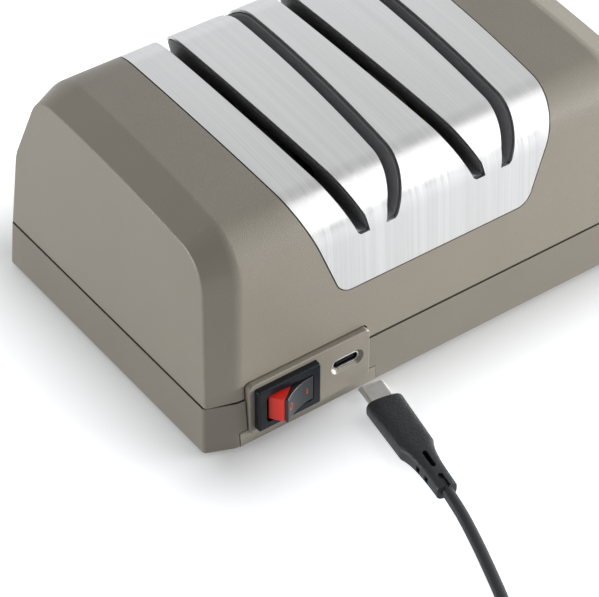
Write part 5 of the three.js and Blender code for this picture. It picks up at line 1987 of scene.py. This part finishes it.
@dataclass(frozen=True)
class Lead:
    """The charging lead: its free stretch on the floor, its coil and both plugs."""

    radius: float = 1.775
    places: tuple[Point, ...] = (
        (-36.2, -101.3, 3.2),
        (-38.0, -109.9, 2.4),
        (-40.9, -119.6, 1.8),
        (-44.5, -129.5, 1.8),
        (-48.1, -138.8, 1.8),
        (-53.2, -150.6, 1.8),
        (-58.8, -165.1, 1.8),
    )
    mid_radius: float = 19.5
    clear: float = 0.5
    turns_in: float = 3.0
    turns_climb: float = 0.5
    turns_out: float = 2.69
    steps_per_turn: int = 36
    steps_per_stretch: int = 5
    lead_out: float = 18.0
    drop: float = 8.0
    lift: float = 0.5
    tie_width: float = 5.0
    tie_thickness: float = 0.4
    tie_turn: float = math.radians(200)
    tie_steps: int = 6
    roundness: int = 5

    def free_stretch(self) -> list[Vector]:
        """Points on a smooth curve through the chosen places, closest together where they are."""
        knots = [Vector(p) for p in self.places]
        knots = [2 * knots[0] - knots[1], *knots, 2 * knots[-1] - knots[-2]]
        points = []
        for a, b, c, d in zip(knots, knots[1:], knots[2:], knots[3:]):
            for step in range(self.steps_per_stretch):
                points.append(self.between(a, b, c, d, step / self.steps_per_stretch))
        return [*points, knots[-2]]

    @staticmethod
    def between(a: Vector, b: Vector, c: Vector, d: Vector, share: float) -> Vector:
        """A point on the centripetal curve from b to c, with a and d as the neighbours."""
        first = math.sqrt((b - a).length)
        second = first + math.sqrt((c - b).length)
        third = second + math.sqrt((d - c).length)
        t = first + (second - first) * share
        ab = a.lerp(b, t / first)
        bc = b.lerp(c, (t - first) / (second - first))
        cd = c.lerp(d, (t - second) / (third - second))
        abc = ab.lerp(bc, t / second)
        bcd = bc.lerp(cd, (t - first) / (third - first))
        return abc.lerp(bcd, (t - first) / (second - first))

    def coil(self, start: Vector, heading: Vector) -> tuple[list[Vector], Vector]:
        """The coil: in on the floor, up in half a turn and out again above.

        Args:
            start: Where the coil begins.
            heading: Which way the cord runs there.

        Returns:
            The coil's points and its centre.
        """
        pitch = 2 * self.radius + self.clear
        outer = self.mid_radius + pitch * self.turns_in / 2
        inwards = Vector((heading.y, -heading.x, 0))
        entry = start + heading * 2 * self.radius
        centre = entry + inwards * outer
        first = math.atan2(entry.y - centre.y, entry.x - centre.x)
        total = self.turns_in + self.turns_climb + self.turns_out
        reversal = self.turns_in + self.turns_climb / 2
        count = round(total * self.steps_per_turn)
        points = [start]
        for i in range(count + 1):
            turn = total * i / count
            share = min(1.0, max(0.0, (turn - self.turns_in) / self.turns_climb))
            climb = share * share * (3 - 2 * share)
            rise = self.lift * min(1.0, turn * 2)
            radius = outer - pitch * (reversal - abs(turn - reversal))
            angle = first - math.tau * turn
            x, y = polar(centre, radius, angle)
            points.append(Vector((x, y, start.z + rise + pitch * climb)))
        return points, centre

    def build(self, shop: Workshop) -> None:
        """Makes the cord as one curve, the plugs at its ends and the coil's tie."""
        plug_c = PlugC().build(shop)
        free = self.free_stretch()
        heading = (free[-1] - free[-2]) * Vector((1, 1, 0))
        heading.normalize()
        coil, centre = self.coil(free[-1] + heading * GAP, heading)
        leave = (coil[-1] - coil[-2]) * Vector((1, 1, 0))
        leave.normalize()
        plug = PlugA()
        over = coil[-1] + leave * self.lead_out
        down = over + leave * self.drop
        down.z = plug.z
        stop = down + leave * (2 * self.radius + GAP + plug.tail_length / 2)
        mouth = down + leave * (2 * self.radius + GAP + plug.length)
        turn = Matrix.Rotation(math.atan2(leave.y, leave.x) - QUARTER, 4, "Z")
        plug_a = plug.build(shop, Matrix.Translation(mouth) @ turn)
        back = (free[0] - free[1]).normalized() * 2 * self.radius
        route = [free[0] + back, *free, *coil[1:], coil[-1] + leave * self.lead_out / 2, over, down, stop]
        tie = self.tie(shop, centre)
        self.curve(shop, route)

    def tie(self, shop: Workshop, centre: Vector) -> bpy.types.Object:
        """Makes the band that holds the coil's turns together."""
        pitch = 2 * self.radius + self.clear
        outer = self.mid_radius + pitch * self.turns_in / 2 + self.radius + self.tie_thickness * 2
        inner = self.mid_radius - pitch * self.turns_in / 2 - self.radius - pitch
        top = self.places[-1][2] + self.lift + pitch + self.radius + self.tie_thickness
        low = (inner, -self.tie_width / 2, self.tie_thickness / 8)
        band = block(low, (outer, self.tie_width / 2, top))
        band.bevel(band.running(1), self.radius, self.tie_steps)
        t = self.tie_thickness
        hole = block((inner + t, -self.tie_width, low[2] + t), (outer - t, self.tie_width, top - t))
        hole.bevel(hole.running(1), self.radius - t, self.tie_steps)
        band.with_cuts([hole], Cut.AWAY)
        band.transform(Matrix.Rotation(self.tie_turn, 4, "Z")).move(centre.x, centre.y, 0)
        return shop.lead_piece(band, "coil_tie", Finish.JACKET)

    def curve(self, shop: Workshop, route: list[Vector]) -> None:
        """Args:
            shop: The workshop.
            route: The cord's points, in millimetres in the part's frame.
        """
        data = bpy.data.curves.new("lead_cord", "CURVE")
        data.dimensions = "3D"
        data.bevel_depth = self.radius * MM
        data.bevel_resolution = self.roundness
        data.use_fill_caps = True
        spline = data.splines.new("POLY")
        spline.points.add(len(route) - 1)
        for point, place in zip(spline.points, route):
            point.co = (*(place * MM), 1)
        made = bpy.data.objects.new("lead_cord", data)
        bpy.context.scene.collection.objects.link(made)
        data.materials.append(shop.material(Finish.JACKET))
        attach(made, "casing")
        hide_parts("charging_cord", "cord_coil")
        length = sum((b - a).length for a, b in zip(route, route[1:])) * MM
        tuple(route[1] * MM)
        LOG.info("lead_cord: %.3f m long", length)


@dataclass(frozen=True)
class Softbox:
    """A rectangular lamp that faces the object."""

    name: str
    toward: Point
    distance: float
    width: float
    height: float
    watts: float
    roll: float = 0.0

    def place(self, target: Vector) -> None:
        """Puts the lamp up, facing a point."""
        data = bpy.data.lights.new(self.name, "AREA")
        data.shape = "RECTANGLE"
        data.size = self.width
        data.size_y = self.height
        data.energy = self.watts
        made = bpy.data.objects.new(self.name, data)
        direction = Vector(self.toward).normalized()
        made.location = target + direction * self.distance
        turn = direction.to_track_quat("Z", "Y").to_matrix() @ Matrix.Rotation(self.roll, 3, "Z")
        made.rotation_euler = turn.to_euler()
        bpy.context.scene.collection.objects.link(made)


@dataclass(frozen=True)
class Studio:
    """Camera, floor, world and lamps."""

    camera_place: Point = (-0.35373, -0.4664, 0.49472)
    tilt: float = math.radians(48.858)
    pan: float = math.radians(-36.201)
    lens: float = 150.711
    sensor: float = 36.0
    floor_size: float = 8.0
    floor_colour: tuple = (0.80, 0.80, 0.80, 1.0)
    floor_glow: tuple = (0.96, 0.98, 1.0, 1.0)
    glow: float = 0.92
    mirror_glow: float = 0.4
    # Painted shadow on the floor: how far the camera glow falls, how far out from the case it reaches, how
    # it fades, and the footprint it is painted round
    painted_shadow: float = 0.74
    painted_shadow_reach: float = 0.046
    painted_shadow_power: float = 1.5
    case_middle: Point = (0.003, 0.0033, 0.0)
    case_half: Point = (0.078, 0.0554, 1.0)
    horizon: tuple = (0.98, 0.99, 1.0, 1.0)
    zenith: tuple = (0.6, 0.6, 0.6, 1.0)
    horizon_at: float = 0.5
    zenith_at: float = 0.9
    bright_side: Point = (0.702, 0.551, 0.451)
    bright_from: float = 0.3
    bright_at: float = 0.9
    dim: float = 0.3
    bright: float = 0.92
    nearest: float = 0.01
    farthest: float = 20.0
    target: Point = (0, 0, 0.04)
    lamps: tuple[Softbox, ...] = (
        Softbox("right_key", (0.92, -0.385, 0.07), 2.4, 1.1, 0.3, 85.0),
        Softbox("left_fill", (-0.966, 0.259, 0.05), 1.6, 0.9, 0.35, 14.5),
        Softbox("shoulder_strip", (0.489, -0.61, 0.62), 1.2, 0.36, 1.4, 2.8, math.radians(-28)),
    )

    def camera(self) -> None:
        """Sets the camera up at the photograph's viewing angle."""
        data = bpy.data.cameras.new("view")
        data.lens = self.lens
        data.sensor_width = self.sensor
        data.clip_start = self.nearest
        data.clip_end = self.farthest
        made = bpy.data.objects.new("view", data)
        made.location = self.camera_place
        made.rotation_euler = (self.tilt, 0, self.pan)
        bpy.context.scene.collection.objects.link(made)
        bpy.context.scene.camera = made

    def seen(self, shader: Shader) -> Wire:
        """The floor's own glow, which only rays from the camera, a mirror or glass see.

        Args:
            shader: The floor's shader.

        Returns:
            The strength. For the camera it fades close to the case's foot, which paints a soft shadow round
            the case on top of the shadow that the floor keeps.
        """
        step = shader.place((1, 1, 0))
        moves = (("SUBTRACT", self.case_middle), ("ABSOLUTE", (0, 0, 0)))
        moves += (("SUBTRACT", self.case_half), ("MAXIMUM", (0, 0, 0)))
        for operation, value in moves:
            step = shader.node("ShaderNodeVectorMath", {"operation": operation}, {0: step, 1: value})
        away = shader.node("ShaderNodeVectorMath", {"operation": "LENGTH"}, {0: step}, "Value")
        # Painted shadow: the camera glow is dimmed near the case's footprint, whatever light falls there
        near = shader.spread(away, 0.0, self.painted_shadow_reach, 1.0, 0.0).power(self.painted_shadow_power)
        mirrored = shader.ray("Glossy") + shader.ray("Transmission")
        return shader.ray("Camera") * (self.glow - near * self.painted_shadow) + mirrored * self.mirror_glow

    def floor(self) -> None:
        """Lays a pale floor that keeps the object's shadow, adds a painted shadow round the case's foot, and
        shows as white.
        """
        form = Form()
        bmesh.ops.create_grid(form.mesh, x_segments=1, y_segments=1, size=self.floor_size / 2)
        made = form.as_object("floor")
        form.mesh.free()
        shader = Shader("pale_floor")
        matte = shader.node("ShaderNodeBsdfDiffuse", {}, {"Color": self.floor_colour})
        values = {"Color": self.floor_glow, "Strength": self.seen(shader)}
        glow = shader.node("ShaderNodeEmission", {}, values)
        both = shader.node("ShaderNodeAddShader", {}, {0: matte, 1: glow})
        made.data.materials.append(shader.end(both))

    def world(self) -> None:
        """Surrounds the object with soft light, brightest low down behind it, and white to the camera."""
        shader = Shader("studio", True)
        spot = shader.node("ShaderNodeTexCoord", {}, {}, "Generated")
        rise = shader.node("ShaderNodeSeparateXYZ", {}, {0: spot}, "Z")
        stops = ((self.horizon_at, self.horizon), (self.zenith_at, self.zenith))
        colour = shader.node("ShaderNodeValToRGB", {"stops": stops}, {0: rise})
        toward = {0: spot, 1: self.bright_side}
        side = shader.node("ShaderNodeVectorMath", {"operation": "DOT_PRODUCT"}, toward, "Value")
        strength = shader.spread(side, self.bright_from, self.bright_at, self.dim, self.bright)
        around = shader.node("ShaderNodeBackground", {}, {"Color": colour, "Strength": strength})
        white = shader.node("ShaderNodeBackground", {}, {"Color": (1, 1, 1, 1)})
        mixed = shader.node("ShaderNodeMixShader", {}, {0: shader.ray("Camera"), 1: around, 2: white})
        bpy.context.scene.world = shader.end(mixed)

    def build(self) -> None:
        """Sets up the whole studio."""
        self.camera()
        self.floor()
        self.world()
        for lamp in self.lamps:
            lamp.place(Vector(self.target))
        bpy.context.scene.view_settings.view_transform = "Standard"


def main() -> None:
    """Builds the sharpener and its studio."""
    logging.basicConfig(level=logging.INFO, format="%(message)s")
    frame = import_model()
    Studio().build()
    shop = Workshop(frame)
    Lead().build(shop)
    section = Section()
    stages = Stages()
    plate = GuidePlate()
    panel = Panel()
    switch = RockerSwitch()
    port = Port()
    case = Case(section)
    build_case(shop, case, stages, plate, panel)
    plate.build(shop, section, stages)
    panel.build(shop, section, switch, port)
    switch.frame(shop, panel.proud)
    switch.rocker(shop)
    port.build(shop, panel.proud)
    Drive().build(shop, stages)


if __name__ == "__main__":
    main()
